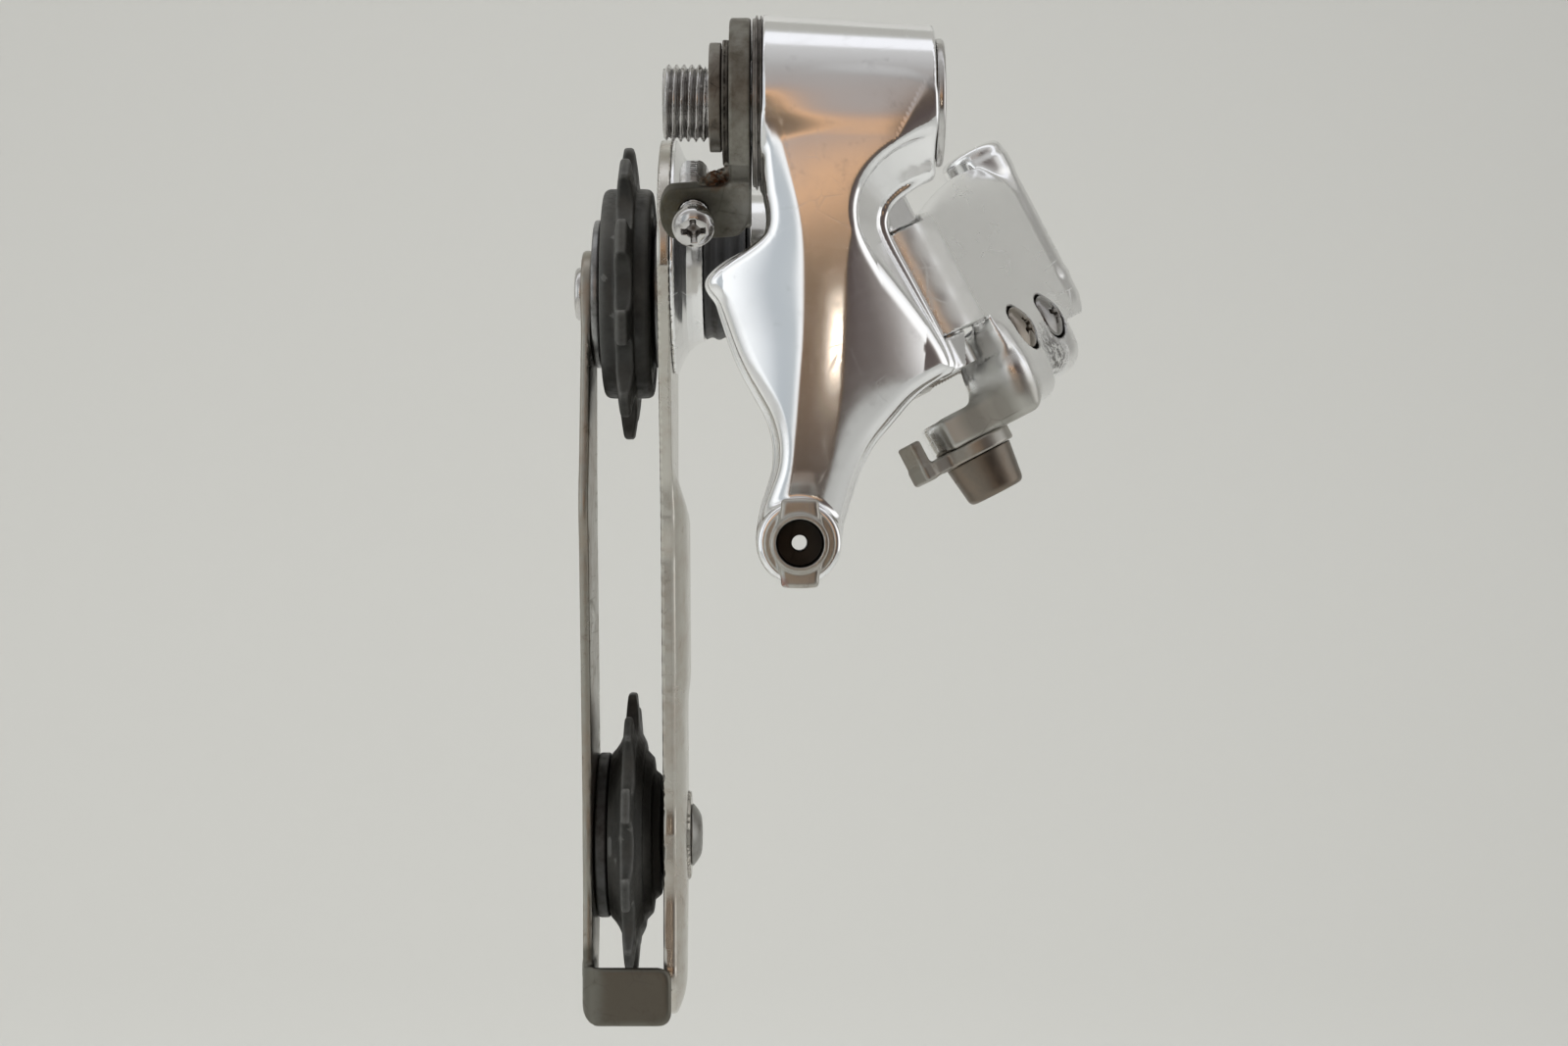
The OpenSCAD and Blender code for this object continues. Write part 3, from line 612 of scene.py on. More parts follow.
NEAR_OUTLINE = [
    (7.0, 2), (7.1, -12), (7.7, -14.7), (7.7, -17.2), (6.8, -18.5), (5.0, -19.8),
    (2.2, -21.4), (0.1, -23.3), (0.2, -24.5), (1.9, -26.3), (2.6, -27.8), (4.8, -34.1),
    (7.4, -38.8), (8.7, -41.4), (9.5, -44.7), (9.4, -47.8), (8.4, -50.5), (7.3, -53.4),
    (6.9, -57.4), (7.8, -60.4), (9.8, -62.0), (12.2, -62.4), (14.5, -61.5), (16.1, -59.2),
    (16.5, -56.2), (17.3, -52.7), (18.4, -48.8), (19.4, -46.4), (20.7, -44.0), (22.9, -41.2),
    (25.1, -38.5), (27.1, -36.9), (28.9, -35.9), (30.4, -34.9), (29.6, -33.0), (27.9, -30.6),
    (23.6, -24.4), (19.6, -18.2), (19.0, -15.0), (19.9, -11.4), (22.8, -8.0), (27.5, -5.4),
    (29.15, -4.6), (29.15, 2)]
far_table = OutlineTable(chaikin(FAR_OUTLINE), pad=5, step=0.2, blur=2)
near_table = OutlineTable(chaikin(NEAR_OUTLINE), pad=5, step=0.2, blur=2)

# Stations in z and values for the ridge down the near face.
RIDGE_X = [-63, -57, -50, -42, -30, -18, -8, 2], [11.7, 11.7, 12.9, 14.0, 14.9, 15.3, 16.6, 18.0]
RIDGE_HALF_WIDTH = [-63, -50, -38, -30, -18, -8, 2], [1.7, 2.0, 2.3, 2.2, 2.8, 6.2, 10.0]
LEFT_SLOPE = [-62, -45, -33, -24, -14, -4], [0.30, 0.36, 0.33, 0.27, 0.36, 0.2]
RIGHT_SLOPE = [-62, -45, -36, -26, -14, -4], [0.34, 0.36, 0.30, 0.36, 0.5, 0.3]
RIDGE_Y = ([-63, -57, -48, -40, -31, -22.6, -12.4, -6, -3, 0, 3],
           [-5.6, -6.4, -7.8, -8.9, -9.9, -10.65, -11.1, -11.17, -11.1, -10.4, -9.6])
FACE_ROUNDING = [-20, -12, -6, 0], [1.5, 1.5, 1.2, 1.0]
# Ears for the rear pins: across, top and bottom measured down, radius.
BODY_EARS = [(OUTER_REAR, 21.2, 26, 3.7), (OUTER_REAR, 41.6, 46, 3.7),
             (INNER_REAR, 20.1, 24, 3.8), (INNER_REAR, 38, 42, 3.8)]


def upper_plate(x, y, z):
    part = np.clip((y + 8.6) / 7.4, 0, 1)
    sides = near_table(x, z) * (1 - part) + far_table(x, z) * part
    # The near face: a rounded ridge whose flanks fall away to both sides.
    side = x - curve(z, *RIDGE_X)
    half = curve(z, *RIDGE_HALF_WIDTH)
    beyond = np.maximum(np.abs(side) - half, 0)
    left, right = curve(z, *LEFT_SLOPE), curve(z, *RIGHT_SLOPE)
    rightness = 1 / (1 + np.exp(np.clip(-side * 3, -30, 30)))
    slope = left + (right - left) * rightness
    fall = (slope * (np.sqrt(beyond ** 2 + 1.2 ** 2) - 1.2)
            + 0.013 * np.minimum(beyond, 11.0) ** 2
            + 0.008 * np.minimum(np.abs(side), half) ** 2)
    face = (curve(z, *RIDGE_Y) + fall) - y
    plate = smax(sides, face, curve(z, *FACE_ROUNDING))
    plate = smax(plate, y + 1.0, 0.5)
    # A thin step round the far edge.
    rim = smax(far_table(x, z) - 0.25, np.abs(y + 1.9) - 0.95, 0.9)
    plate = smin(plate, rim, 0.3)
    lug = rod(x - ADJUSTER_X, z - ADJUSTER_Z, y, 5.35, -8.9, -1.0, 0.7)
    return smin(plate, lug, 1.0)


def upper_body(x, y, z):
    x, y, z = np.broadcast_arrays(x, y, z)
    boss_radius = 11.4 - 1.4 * np.clip((x - 6.95) / 22.2, 0, 1)
    boss = smax(length(y, z) - boss_radius, np.abs(x - 18.05) - 11.1, 0.5)
    shape = smin(boss, upper_plate(x, y, z), 1.5)
    across, down = slant_frame(x, z)
    for centre, top, bottom, radius in BODY_EARS:
        side = across - centre
        root = np.maximum(y - REAR_Y, -1.8 - y)
        ear = np.minimum(length(side, y - REAR_Y) - radius,
                         np.maximum(np.abs(side) - radius, root))
        if centre == OUTER_REAR:
            ear = smax(ear, 0.8 * side - 0.6 * (y - REAR_Y) - 3.25, 0.8)
        shape = smin(shape, extrude(ear, down, top, bottom, 0.35), 0.5)
    # Pivot bolt bore, its seat at the outer end, pin bores and adjuster hole.
    shape = bore(shape, y, z, 7.0, 0.3)
    shape = cut(shape, length(y, z) - 8.3 + np.clip((28.4 - x) * 3, 0, 2), 0.2)
    for centre in (OUTER_REAR, INNER_REAR):
        shape = bore(shape, across - centre, y - REAR_Y, 2.02, 0.2)
    return cut(shape, rod(x - ADJUSTER_X, z - ADJUSTER_Z, y, 3.06, -12, 2, 0.1), 0.2)


# The body is sampled finely, because it's a mirror.
solid("upper_body_shell", upper_body, (-1.6, -12.4, -64), (33.5, 12.2, 12.6),
      0.32,
      "upper_body", "polished_aluminium", "polished_aluminium", "upper_body")


# ---------------------------------------------------------------- outer link
def rolled_plate(run, off, down):
    """A flat plate rolled off the rear barrel, its upper edge rounded away."""
    barrel = rod(run, off, down, 5.1, 26.2, 41.4, 0.4)
    plate = box(run, off, down, (0.0, 41), (-4.6, -1.5), (12, 46), 0.5)
    plate = smax(plate, 25.6 - 0.225 * run - down, 1.6)
    plate = smax(plate, (-(off + 4.6) * 0.86 + (24.6 - down) * 0.5) * 0.9, 1.4)
    plate = smax(plate, np.minimum(5.5 - run, np.maximum(20.6 - down, down - 41.4)), 0.5)
    plate = smax(plate, 0.35 - run, 0.3)
    shape = smin(barrel, plate, 0.9)
    # The roll behind the body is trimmed to a true cylinder.
    roll = smax(length(np.minimum(run, 0), off) - 4.78, -off - 4.62, 0.6)
    return smax(shape, smax(roll, off - 4.6, 0.5), 0.1)


def front_lugs(run, off, down):
    """Rounded lugs round the front pin and the skin between them."""
    run = run - LINK_LENGTH
    upper = rod(run, off, down, 4.8, 17.6, 23.2, 1.3)
    lower = rod(run, off, down, 4.8, 38.8, 44.2, 1.2)
    skin = rod(run, off, down, 4.9, 20, 40, 0.3)
    skin = smax(skin, np.maximum(run - 1.7, off + 1.5), 0.4)
    return skin, smin(upper, lower, 0.2)


def screw_swelling(run, off, down):
    """The swelling that holds the limit screws."""
    shape = box(run, off, down, (4.9, 31.8), (-4.95, 3.4), (41.6, 52.2), 2.9)
    cup = length((run - 8.6) / 0.95, (off + 1.2) / 0.78, (down - 47.6) / 1.05) - 5.2
    shape = smin(shape, cup * 0.85, 1.8)
    cup = length((run - 28.2) / 0.8, (off + 1.5) / 0.78, (down - 47.5) / 1.05) - 4.6
    shape = smin(shape, cup * 0.85, 1.8)
    shape = smax(shape, 4.9 - run, 1.6)
    return smax(shape, (42.3 - down) - 0.28 * np.maximum(run - 7.5, 0), 0.8)


def anchor_arm(across, y, run, off, down):
    """Arm and lug for the cable anchor."""
    lug_range = (50.7, 55)
    arm = box(across, y, down, (8.0, 21), (8.7, 19.2), lug_range, 0.7)
    lug = rod(across - ANCHOR_ACROSS, y - ANCHOR_Y, down, 5.5, *lug_range, 0.7)
    root = box(run, off, down, (4.6, 17), (-5.2, 3.6), (46.5, 54.6), 2.6)
    return smin(root, smin(arm, lug, 0.5), 2.0)


def outer_link(x, y, z):
    across, y, run, off, down = link_frame(x, y, z, OUTER_REAR)
    skin, lugs = front_lugs(run, off, down)
    shape = smin(rolled_plate(run, off, down), skin, 0.8)
    shape = smin(shape, lugs, 1.0)
    shape = smin(shape, screw_swelling(run, off, down), 1.5)
    shape = smin(shape, anchor_arm(across, y, run, off, down), 1.8)
    # Keep off the body's ears.
    shape = cut(shape, np.maximum(run - 4.8, np.abs(down - 43.75) - 2.45), 0.25)
    shape = cut(shape, smax(length(run, off) - 3.98, np.abs(down - 23.2) - 2.9, 0.2), 0.2)
    shape = smax(shape, np.where(down < 26.1, 0.25 - run, -9.0), 0.1)
    # Room for the knuckle's ears, the pin bores and the cavity for the spring.
    ears = smax(length(run - LINK_LENGTH, off) - 3.72, np.abs(down - 31.0) - 7.7, 0.2)
    shape = cut(shape, ears, 0.3)
    shape = bore(shape, run, off, 2.05, 0.15)
    for middle, radius in ((0, 3.72), (3.8, 3.0)):
        cavity = smax(length(run, off - middle) - radius, np.abs(down - 33.8) - 3.8, 0.1)
        shape = cut(shape, cavity, 0.15)
    shape = bore(shape, run - LINK_LENGTH, off, 2.02, 0.15)
    # Limit screw holes with their counterbores.
    for screw_run in (HIGH_RUN, LOW_RUN):
        radius = length(run - screw_run, down - LIMIT_DOWN)
        shape = cut(shape, radius - 1.55, 0.15)
        shape = cut(shape, smax(radius - 3.45, off + 3.45, 0.1), 0.12)
    shape = bore(shape, across - ANCHOR_ACROSS, y - ANCHOR_Y, 2.45, 0.15)
    return smax(shape, x - 53.12, 0.1)


def scuff_and_shade_outer_link():
    """A pitted scrape, duller metal on the roll and the cup, painted shade round the screw
    seats, and duller lug metal.
    """
    name = "polished_aluminium_scuffed_and_shaded"
    patch(name, (46.0, 21.8, -32.6), core=3.0, reach=6.0, colour=(0.14, 0.13, 0.12),
          amount=0.85, rough=0.45, speckle=0.4, pit=1.0)
    patch(name, (25.6, 4.0, -13.4), core=0.8, reach=2.4, colour=(0.34, 0.34, 0.33),
          amount=0.6, rough=0.4)
    for down in (27.5, 32, 36.5, 41):
        patch(name, from_outer_link(-0.5, -3.6, down), core=3.4, reach=5.2,
              colour=(0.80, 0.80, 0.78), amount=0.6, rough=0.42)
    patch(name, from_outer_link(5.2, -1.5, 46.0), core=2.6, reach=4.4,
          colour=(0.60, 0.60, 0.57), amount=0.8, rough=0.3)
    # Painted shade: the gap round each limit screw's seat is darkened to stand in for the shade
    # in the counterbore.
    for run in (HIGH_RUN, LOW_RUN):
        patch(name, from_outer_link(run, -4.4, LIMIT_DOWN), core=3.5, reach=3.85,
              colour=(0.05, 0.046, 0.04), amount=0.9, rough=0.2)
    # Three places along the anchor arm, as x and z.
    for x, z in ((33.69126, -41.98575), (37.23926, -40.13895), (40.78726, -38.29215)):
        patch(name, (x, 9.2, z), core=3.0, reach=4.8, colour=(0.40, 0.39, 0.355),
              amount=0.85, rough=0.3)


scuff_and_shade_outer_link()
solid("outer_link_plate", outer_link, (9.0, -3.5, -58), (56.5, 47.5, 3.0), 0.34 * COARSE,
      "outer_link", "polished_aluminium_scuffed_and_shaded", "polished_aluminium", "outer_link")


# ---------------------------------------------------------------- inner link
def inner_link(x, y, z):
    _, _, run, off, down = link_frame(x, y, z, INNER_REAR)
    thickness = (-1.7, 1.7)
    shape = rod(run, off, down, 4.1, 24.15, 37.85, 0.3)
    shape = smin(shape, rod(run - LINK_LENGTH, off, down, 4.1, 27.65, 34.35, 0.3), 0.1)
    plate = box(run, off, down, (5.4, 33.5), thickness, (24.2, 42.5), 0.5)
    # Shallow recess along the plate's outer face.
    plate = cut(plate, box(run, off, down, (10, 29), (-3, -0.9), (28, 38.5), 0.8), 0.4)
    web = box(run, off, down, (0, 40), thickness, (27.7, 34.3), 0.4)
    rear_web = box(run, off, down, (0, 8), thickness, (24.2, 37.8), 0.4)
    shape = smin(shape, smin(plate, smin(web, rear_web, 0.3), 0.5), 0.5)
    # Two pads facing the limit screws, and their base.
    pads = np.minimum(box(run, off, down, (20.4, 25), (-6.0, 1.7), (42.4, 46.3), 0.5),
                      box(run, off, down, (11.6, 16.2), (-4.55, 1.7), (42.4, 46.3), 0.5))
    base = box(run, off, down, (11.6, 25), thickness, (40.4, 46.3), 0.5)
    shape = smin(shape, np.minimum(pads, base), 0.4)
    shape = bore(shape, run, off, 2.05, 0.15)
    return bore(shape, run - LINK_LENGTH, off, 2.09, 0.15)


solid("inner_link_arm", inner_link, (-6, 0, -44), (33, 46, -9), 0.45 * COARSE,
      "inner_link", "satin_aluminium", "satin_aluminium", "inner_link")


# ---------------------------------------------------------------- lower knuckle
def knuckle(x, y, z):
    x, y, z = np.broadcast_arrays(x, y, z)
    across, down = slant_frame(x, z)
    local_y, local_z = y - PIVOT_Y, z - PIVOT_Z

    def drum(radius, start, end, edge):
        return rod(local_y, local_z, x, radius, start, end, edge)

    # Ears round both front pins.
    ear = bar(across, y, (INNER_FRONT, FRONT_Y), (OUTER_FRONT, FRONT_Y), 3.6, 3.4)
    block = np.maximum(np.maximum(INNER_FRONT - 3.4 - across, across - OUTER_FRONT - 1.1),
                       np.maximum(FRONT_Y - y, y - 47.5))
    ear = np.minimum(ear, block)
    ears = np.minimum(*[extrude(ear, down, top, top + 4, 0.35) for top in (23.5, 34.5)])
    # The web behind the ears deepens outward.
    part = np.clip((across + 6) / (INNER_FRONT + 3), 0, 1)
    top, bottom = 17.2 + 6.4 * part, 27 + 11.4 * part
    web = smax(smax(top - down, down - bottom, 1.0),
               smax(-6 - across, across - OUTER_FRONT - 1.1, 1.0), 1.2)
    web = smax(web, smax(45.35 - y, y - 49.9, 1.2), 1.4)
    web = smax(web, 4.8 - x, 0.5)
    shape = smin(drum(10, 4.3, 14.5, 0.8), web, 2.5)
    shape = smin(shape, ears, 0.7)
    shape = smin(shape, drum(8.6, -1.45, 5.5, 0.25), 0.2)
    shape = cut(shape, drum(6.8, -3, 9, 0.1), 0.2)
    # A small block on the end of the neck.
    radial, sideways = turned(local_y, local_z, math.radians(70))
    block = box(radial, sideways, x, (4.5, 7.5), (-1.1, 1.1), (-1.45, 0.45), 0.15)
    shape = np.minimum(shape, block)
    shape = cut(shape, drum(6.5, 8, 17, 0.1), 0.2)
    inner_radius = length(across - INNER_FRONT, y - FRONT_Y)
    outer_radius = length(across - OUTER_FRONT, y - FRONT_Y)
    shape = cut(shape, smax(inner_radius - 4.45, np.abs(down - 31) - 3.5, 0.1), 0.2)
    # Room for the outer link's skin as it turns.
    sweep = smax(outer_radius - 5.0, 3.7 - outer_radius, 0.1)
    limits = np.maximum(1.3 - (across - OUTER_FRONT), -(down - 17))
    shape = cut(shape, smax(sweep, limits, 0.1), 0.2)
    shape = cut(shape, outer_radius - 2.05, 0.15)
    return cut(shape, inner_radius - 2.02, 0.15)


solid("lower_knuckle_body", knuckle, (-2.6, 28, -39), (50, 51.5, -1), 0.42 * COARSE,
      "lower_knuckle", "polished_aluminium_worn", "polished_aluminium", "lower_knuckle")


# ---------------------------------------------------------------- screw features
def triangle_wave(turns):
    return np.abs((turns - np.floor(turns)) - 0.5) * 2


def hexagon(a, b, half_flat):
    """Distance to a hexagon with a corner on b."""
    sides = np.maximum(np.abs(0.5 * a + 0.866 * b), np.abs(0.5 * a - 0.866 * b))
    return np.maximum(np.abs(a), sides) - half_flat


def cross_recess(a, b, along, reach, depth, half_width):
    """A tapered cross that opens toward +along at 0 and ends at -depth."""
    part = np.clip(-along / depth, 0, 1)
    width = half_width * (1 - 0.35 * part)
    arm_length = reach * (1 - 0.55 * part)
    arms = np.minimum(np.maximum(np.abs(a) - width, np.abs(b) - arm_length),
                      np.maximum(np.abs(b) - width, np.abs(a) - arm_length))
    core = length(a, b) - reach * 0.52 * (1 - 0.4 * part)
    return np.maximum(smin(arms, core, 0.15), -depth - along)


def thread(a, b, along, radius, depth, pitch):
    """Radius of a screw thread at the angle of (a, b)."""
    wave = triangle_wave(along / pitch + np.arctan2(b, a) / (2 * math.pi))
    return radius - depth * (1 - np.clip(1.35 * wave - 0.1, 0, 1))


# ---------------------------------------------------------------- hanger group
def hanger_bolt(x, y, z):
    radius = length(y, z)
    profile = thread(y, z, x, radius=5.0, depth=0.62, pitch=1.0)
    profile = np.minimum(profile, 4.45 + np.maximum(x + 6.0, 0) * 1.1)
    profile = np.where(x > -0.45, 4.4, profile)
    shape = np.maximum(radius - profile, np.maximum(-6.0 - x, x - 0.1))
    # Neck, shank and head: radius, start, end, edge.
    for sizes in ((4.5, -0.3, 2.2, 0.1), (5.5, 1.7, 29.5, 0.2), (8.3, 29.2, 30.5, 0.55)):
        shape = smin(shape, rod(y, z, x, *sizes), 0.1)
    shape = cut(shape, np.maximum(hexagon(y, z, 2.51), 26.0 - x), 0.12)
    return cut(shape, np.maximum(radius - 2.2, x + 4.5), 0.2)


solid("hanger_bolt_turned", hanger_bolt, (-6.6, -8.9, -8.9), (31.1, 8.9, 8.9), 0.19 * COARSE,
      "mount", "thread_steel", "bright_steel", "hanger_bolt")


def retaining_ring(x, y, z):
    hole, recess = 4.56, 5.17
    shape = rod(y, z - 0.72, x, 7.08, 0.02, 1.6, 0.22)
    # A worn, slightly uneven lower edge.
    shape = bore(shape, y - 1.5, z + 8.1, 1.3, 0.6)
    shape = cut(shape, smax(length(y, z) - hole, 0.7 - x, 0.05), 0.1)
    return bore(shape, y, z, np.where(x < 0.62, recess, hole), 0.1)


solid("hanger_retaining_ring_worn", retaining_ring, (-0.5, -7.8, -7.3), (2.1, 7.8, 8.5),
      0.22 * COARSE, "mount", "grimy_steel", "grimy_steel", "hanger_retaining_ring")


def hanger_washer(x, y, z):
    angle = np.arctan2(z, y)
    rim = 8.15 - 0.16 * np.sin(3 * angle + 1) ** 2 - 0.12 * np.sin(7 * angle) ** 2 * (x > 2.1)
    radius = length(y, z)
    shape = smax(radius - rim, np.abs(x - 2.16) - 0.42, 0.25)
    # A groove round the rim.
    shape = cut(shape, np.abs(radius - 8.3) - 0.2 + np.abs(x - 2.15), 0.1)
    return cut(shape, radius - 5.56, 0.1)


solid("hanger_washer_dark", hanger_washer, (1.4, -8.8, -8.8), (2.9, 8.8, 8.8), 0.2 * COARSE,
      "mount", "greasy_washer", "grimy_steel", "hanger_washer")

# The screw that sets the body's angle: a point on it, its twist and its 60 degree tilt.
B_X, B_Y, B_Z = -2.1, 0.6, -13.9
B_TWIST = math.radians(3)
B_TILT_COS, B_TILT_SIN = 0.5, 0.8660254


def b_frame(x, y, z):
    """(side, off, along) in the frame of the b screw."""
    side, rise = turned(x - B_X, z - B_Z, B_TWIST)
    y = y - B_Y
    return side, y * B_TILT_COS - rise * B_TILT_SIN, y * B_TILT_SIN + rise * B_TILT_COS


# Blobs of old grease and rust in the corner above the tab: x, y, z, radius.
GREASE = [(0.5, -0.9, -10.0, 1.0), (1.6, -1.0, -9.5, 0.85), (-0.6, -0.8, -10.4, 0.75),
          (2.6, -1.5, -9.0, 0.8), (2.5, -1.4, -8.1, 0.5)]


def b_plate(x, y, z):
    x, y, z = np.broadcast_arrays(x, y, z)
    far_x = 5.48
    skirt = smax(smax(y - 6.3 + 0.05 * (z + 8), z, 0.3), -15.6 - z, 0.8)
    skirt = smax(skirt, smax(-6.4 - y, -0.62 * (y + 6.0) - 0.78 * (z + 9.2), 1.5), 0.8)
    skirt = smax(skirt, np.where(z < -9, -1.3 - y, -9.0), 0.6)
    shape = extrude(smin(length(y, z) - 10.95, skirt, 1.2), x, 2.67, far_x, 0.45)
    side, off, along = b_frame(x, y, z)
    tab = box(side, off, 0 * side, (-4.6, 7.6), (-3.55, 3.65), (-1, 1), 0.9)
    tab = extrude(tab, along, -1.3, 1.3, 0.4)
    # One end rounded, and the opposite corner rounded on a larger radius.
    tab = smax(tab, length(np.minimum(side + 1.4, 0), off * 0.75) - 3.05, 0.4)
    corner = length(side - 3.4, off - 0.2) - 4.0
    tab = smax(tab, np.where((side > 3.4) & (off > 0.2), corner, -9.0), 0.4)
    tab = smax(tab, x - far_x, 0.5)
    shape = smax(smin(shape, tab, 1.3), x - far_x, 0.2)
    shape = bore(shape, y, z, 5.56, 0.15)
    shape = bore(shape, side, off, 2.06, 0.12)
    lumps = np.sin(x * 5.1 + z * 3) * np.sin(y * 4.3 + 1) * np.sin(z * 6.1 + 2)
    for blob_x, blob_y, blob_z, radius in GREASE:
        blob = length(x - blob_x, (y - blob_y) * 0.7, z - blob_z) - radius
        shape = smin(shape, blob + 0.16 * lumps, 0.3)
    return shape


patch("zinc_plate_grimy", (-4.5, 0.0, -14.0), core=6.5, reach=9.0,
      colour=(0.10, 0.095, 0.075), amount=0.75, rough=0.08)
patch("zinc_plate_grimy", (0.9, -1.2, -9.6), core=0.8, reach=2.6,
      colour=(0.20, 0.075, 0.025), amount=0.95, rough=0.4, speckle=0.9)
patch("zinc_plate_grimy", (-4.5, -1.0, -14.0), core=1.0, reach=3.6,
      colour=(0.12, 0.10, 0.06), amount=0.5, rough=0.1, speckle=0.8)
solid("b_tension_plate_bent", b_plate, (-7.2, -11.6, -17.6), (6.0, 11.6, 11.6), 0.25 * COARSE,
      "mount", "zinc_plate_grimy", "grimy_steel", "b_tension_plate")


def b_screw(x, y, z):
    side, off, along = b_frame(x, y, z)
    head_end, tip = -7.0, 13.5
    radius = length(side, off)
    profile = thread(side, off, along, radius=2.0, depth=0.28, pitch=0.7)
    profile = np.minimum(profile, 1.25 + np.maximum(tip - along, 0) * 1.2)
    profile = np.where(along < -4.3, 1.9, profile)
    shape = np.maximum(radius - profile, np.maximum(-5.0 - along, along - tip))
    head = smax(radius - 2.8, along + 4.42, 0.25)
    head = smax(head, length(radius, (along + 3.2) * 0.92) - 3.85, 0.5)
    shape = smin(shape, smax(head, head_end - along, 0.2), 0.15)
    recess = cross_recess(side, off, -(along - head_end), 1.75, 1.15, half_width=0.4)
    return cut(shape, recess, 0.12)


# Dirt in the cross recess, at this place along the screw.
dirt_along = -6.45
dirt_rise = dirt_along * B_TILT_COS
patch("plated_screw_b", (B_X - dirt_rise * math.sin(B_TWIST), B_Y + dirt_along * B_TILT_SIN,
                         B_Z + dirt_rise * math.cos(B_TWIST)),
      core=0.6, reach=1.15, colour=(0.055, 0.035, 0.025), amount=0.95, rough=0.4)
solid("b_adjust_screw_cut", b_screw, (-5.6, -6.6, -20.5), (1.6, 13.6, -6.0), 0.15 * COARSE,
      "b_screw", "plated_screw_b", "bright_steel", "b_adjust_screw")

# Stations in x and rim radii of the dust cover.
DUST_RIM = ([5.62, 5.75, 6.05, 6.12, 6.32, 6.4, 6.62, 6.7, 6.9],
            [10.6, 10.9, 10.9, 11.28, 11.28, 10.75, 10.75, 11.28, 11.2])


def dust_cover(x, y, z):
    radius = length(y, z)
    shape = smax(radius - np.interp(x, *DUST_RIM), np.abs(x - 6.26) - 0.62, 0.12)
    return cut(shape, radius - 5.62, 0.1)


solid("b_dust_cover_turned", dust_cover, (5.3, -11.8, -11.8), (7.2, 11.8, 11.8),
      0.16 * COARSE, "upper_body", "dust_cover_steel", "grimy_steel", "b_dust_cover")


# ---------------------------------------------------------------- cable adjuster
def adjuster(x, y, z):
    x, y, z = np.broadcast_arrays(x, y, z)
    x, z = x - ADJUSTER_X, z - ADJUSTER_Z
    radius = length(x, z)
    ridges = thread(x, z, y, radius=3.0, depth=0.3, pitch=0.8)
    profile = np.where((y > -9.3) & (y < -0.9), ridges, 2.95)
    shape = np.maximum(radius - profile, np.maximum(-14.5 - y, y + 0.8))
    shape = smin(shape, rod(x, z, y, 3.55, -23.46, -13.9, 0.35), 0.1)
    shape = smin(shape, rod(x, z, y, 4.55, -15.0, -14.02, 0.3), 0.25)
    # Two thumb wings, rounded at their ends.
    wing = np.abs(x) - 2.35 - 0.3 * np.clip((4.4 - np.abs(z)) / 2, 0, 1)
    wing = smax(wing, length(x * 0.55, z) - 5.55, 0.6)
    shape = smin(shape, smax(wing, np.abs(y + 17.4) - 3.1, 0.7), 0.5)
    ring = smax(np.abs(radius - 3.25) - 0.3, np.abs(y + 22.88) - 0.53, 0.2)
    shape = smin(shape, ring, 0.1)
    shape = cut(shape, smax(radius - 2.9, y + 15.5, 0.1), 0.18)
    return cut(shape, radius - 1.0, 0.1)


# Painted shade inside the bore, and a rust spot on the lower wing.
patch("adjuster_aluminium", (ADJUSTER_X, 0, ADJUSTER_Z), core=2.93, reach=3.02,
      colour=(0.045, 0.042, 0.038), amount=0.95, rough=0.15, mask=(1, 0, 1))
patch("adjuster_aluminium", (9.2, -20.0, -62.6), core=0.6, reach=1.5,
      colour=(0.25, 0.06, 0.03), amount=0.7, rough=0.3, speckle=0.6)
solid("barrel_adjuster_turned", adjuster, (5.9, -23.9, -63.4), (17.5, -0.4, -51.4),
      0.2 * COARSE, "adjuster", "adjuster_aluminium", "satin_aluminium", "barrel_adjuster")


# ---------------------------------------------------------------- springs
def coil(name, mean_radius, wire_radius, span, turns, place, body, node):
    """A round wire on a helix with rounded ends; place maps (a, b, along) to x, y, z."""
    per_turn, around, end_rings = 44, 14, 4
    last = int(turns * per_turn)
    points = []
    for i in range(-end_rings, last + end_rings + 1):
        station = min(max(i, 0), last)
        angle = 2 * math.pi * station / per_turn
        along = wire_radius + (span - 2 * wire_radius) * station / last
        ring_radius = wire_radius
        if i != station:
            # End rings shrink and are pulled back along the wire.
            roll = math.pi / 2 * abs(i - station) / end_rings
            ring_radius = max(0.02, wire_radius * math.cos(roll))
            back = math.sin(roll) * wire_radius * 0.6 * (1 if i < 0 else -1)
            angle += back / mean_radius
        for j in range(around):
            turn = 2 * math.pi * j / around
            radius = mean_radius + ring_radius * math.cos(turn)
            points.append(place(radius * math.cos(angle), radius * math.sin(angle),
                                along + ring_radius * math.sin(turn)))
    rings = last + 2 * end_rings + 1
    faces = [(i * around + j, i * around + (j + 1) % around,
              (i + 1) * around + (j + 1) % around, (i + 1) * around + j)
             for i in range(rings - 1) for j in range(around)]
    faces += [tuple(range(around))[::-1],
              tuple((rings - 1) * around + j for j in range(around))]
    mesh = bpy.data.meshes.new(name)
    mesh.from_pydata([(x * MM, y * MM, z * MM) for x, y, z in points], [], faces)
    mesh.update()
    work = bmesh.new()
    work.from_mesh(mesh)
    bmesh.ops.recalc_face_normals(work, faces=work.faces)
    work.to_mesh(mesh)
    work.free()
    mesh.polygons.foreach_set("use_smooth", np.ones(len(mesh.polygons), bool))
    register(add_object(name, mesh), body, "spring_steel", "spring_steel", node)


def place_link_spring(a, b, along):
    x, z = from_slant(OUTER_REAR + a, 37.3 - along)
    return x, REAR_Y + b, z


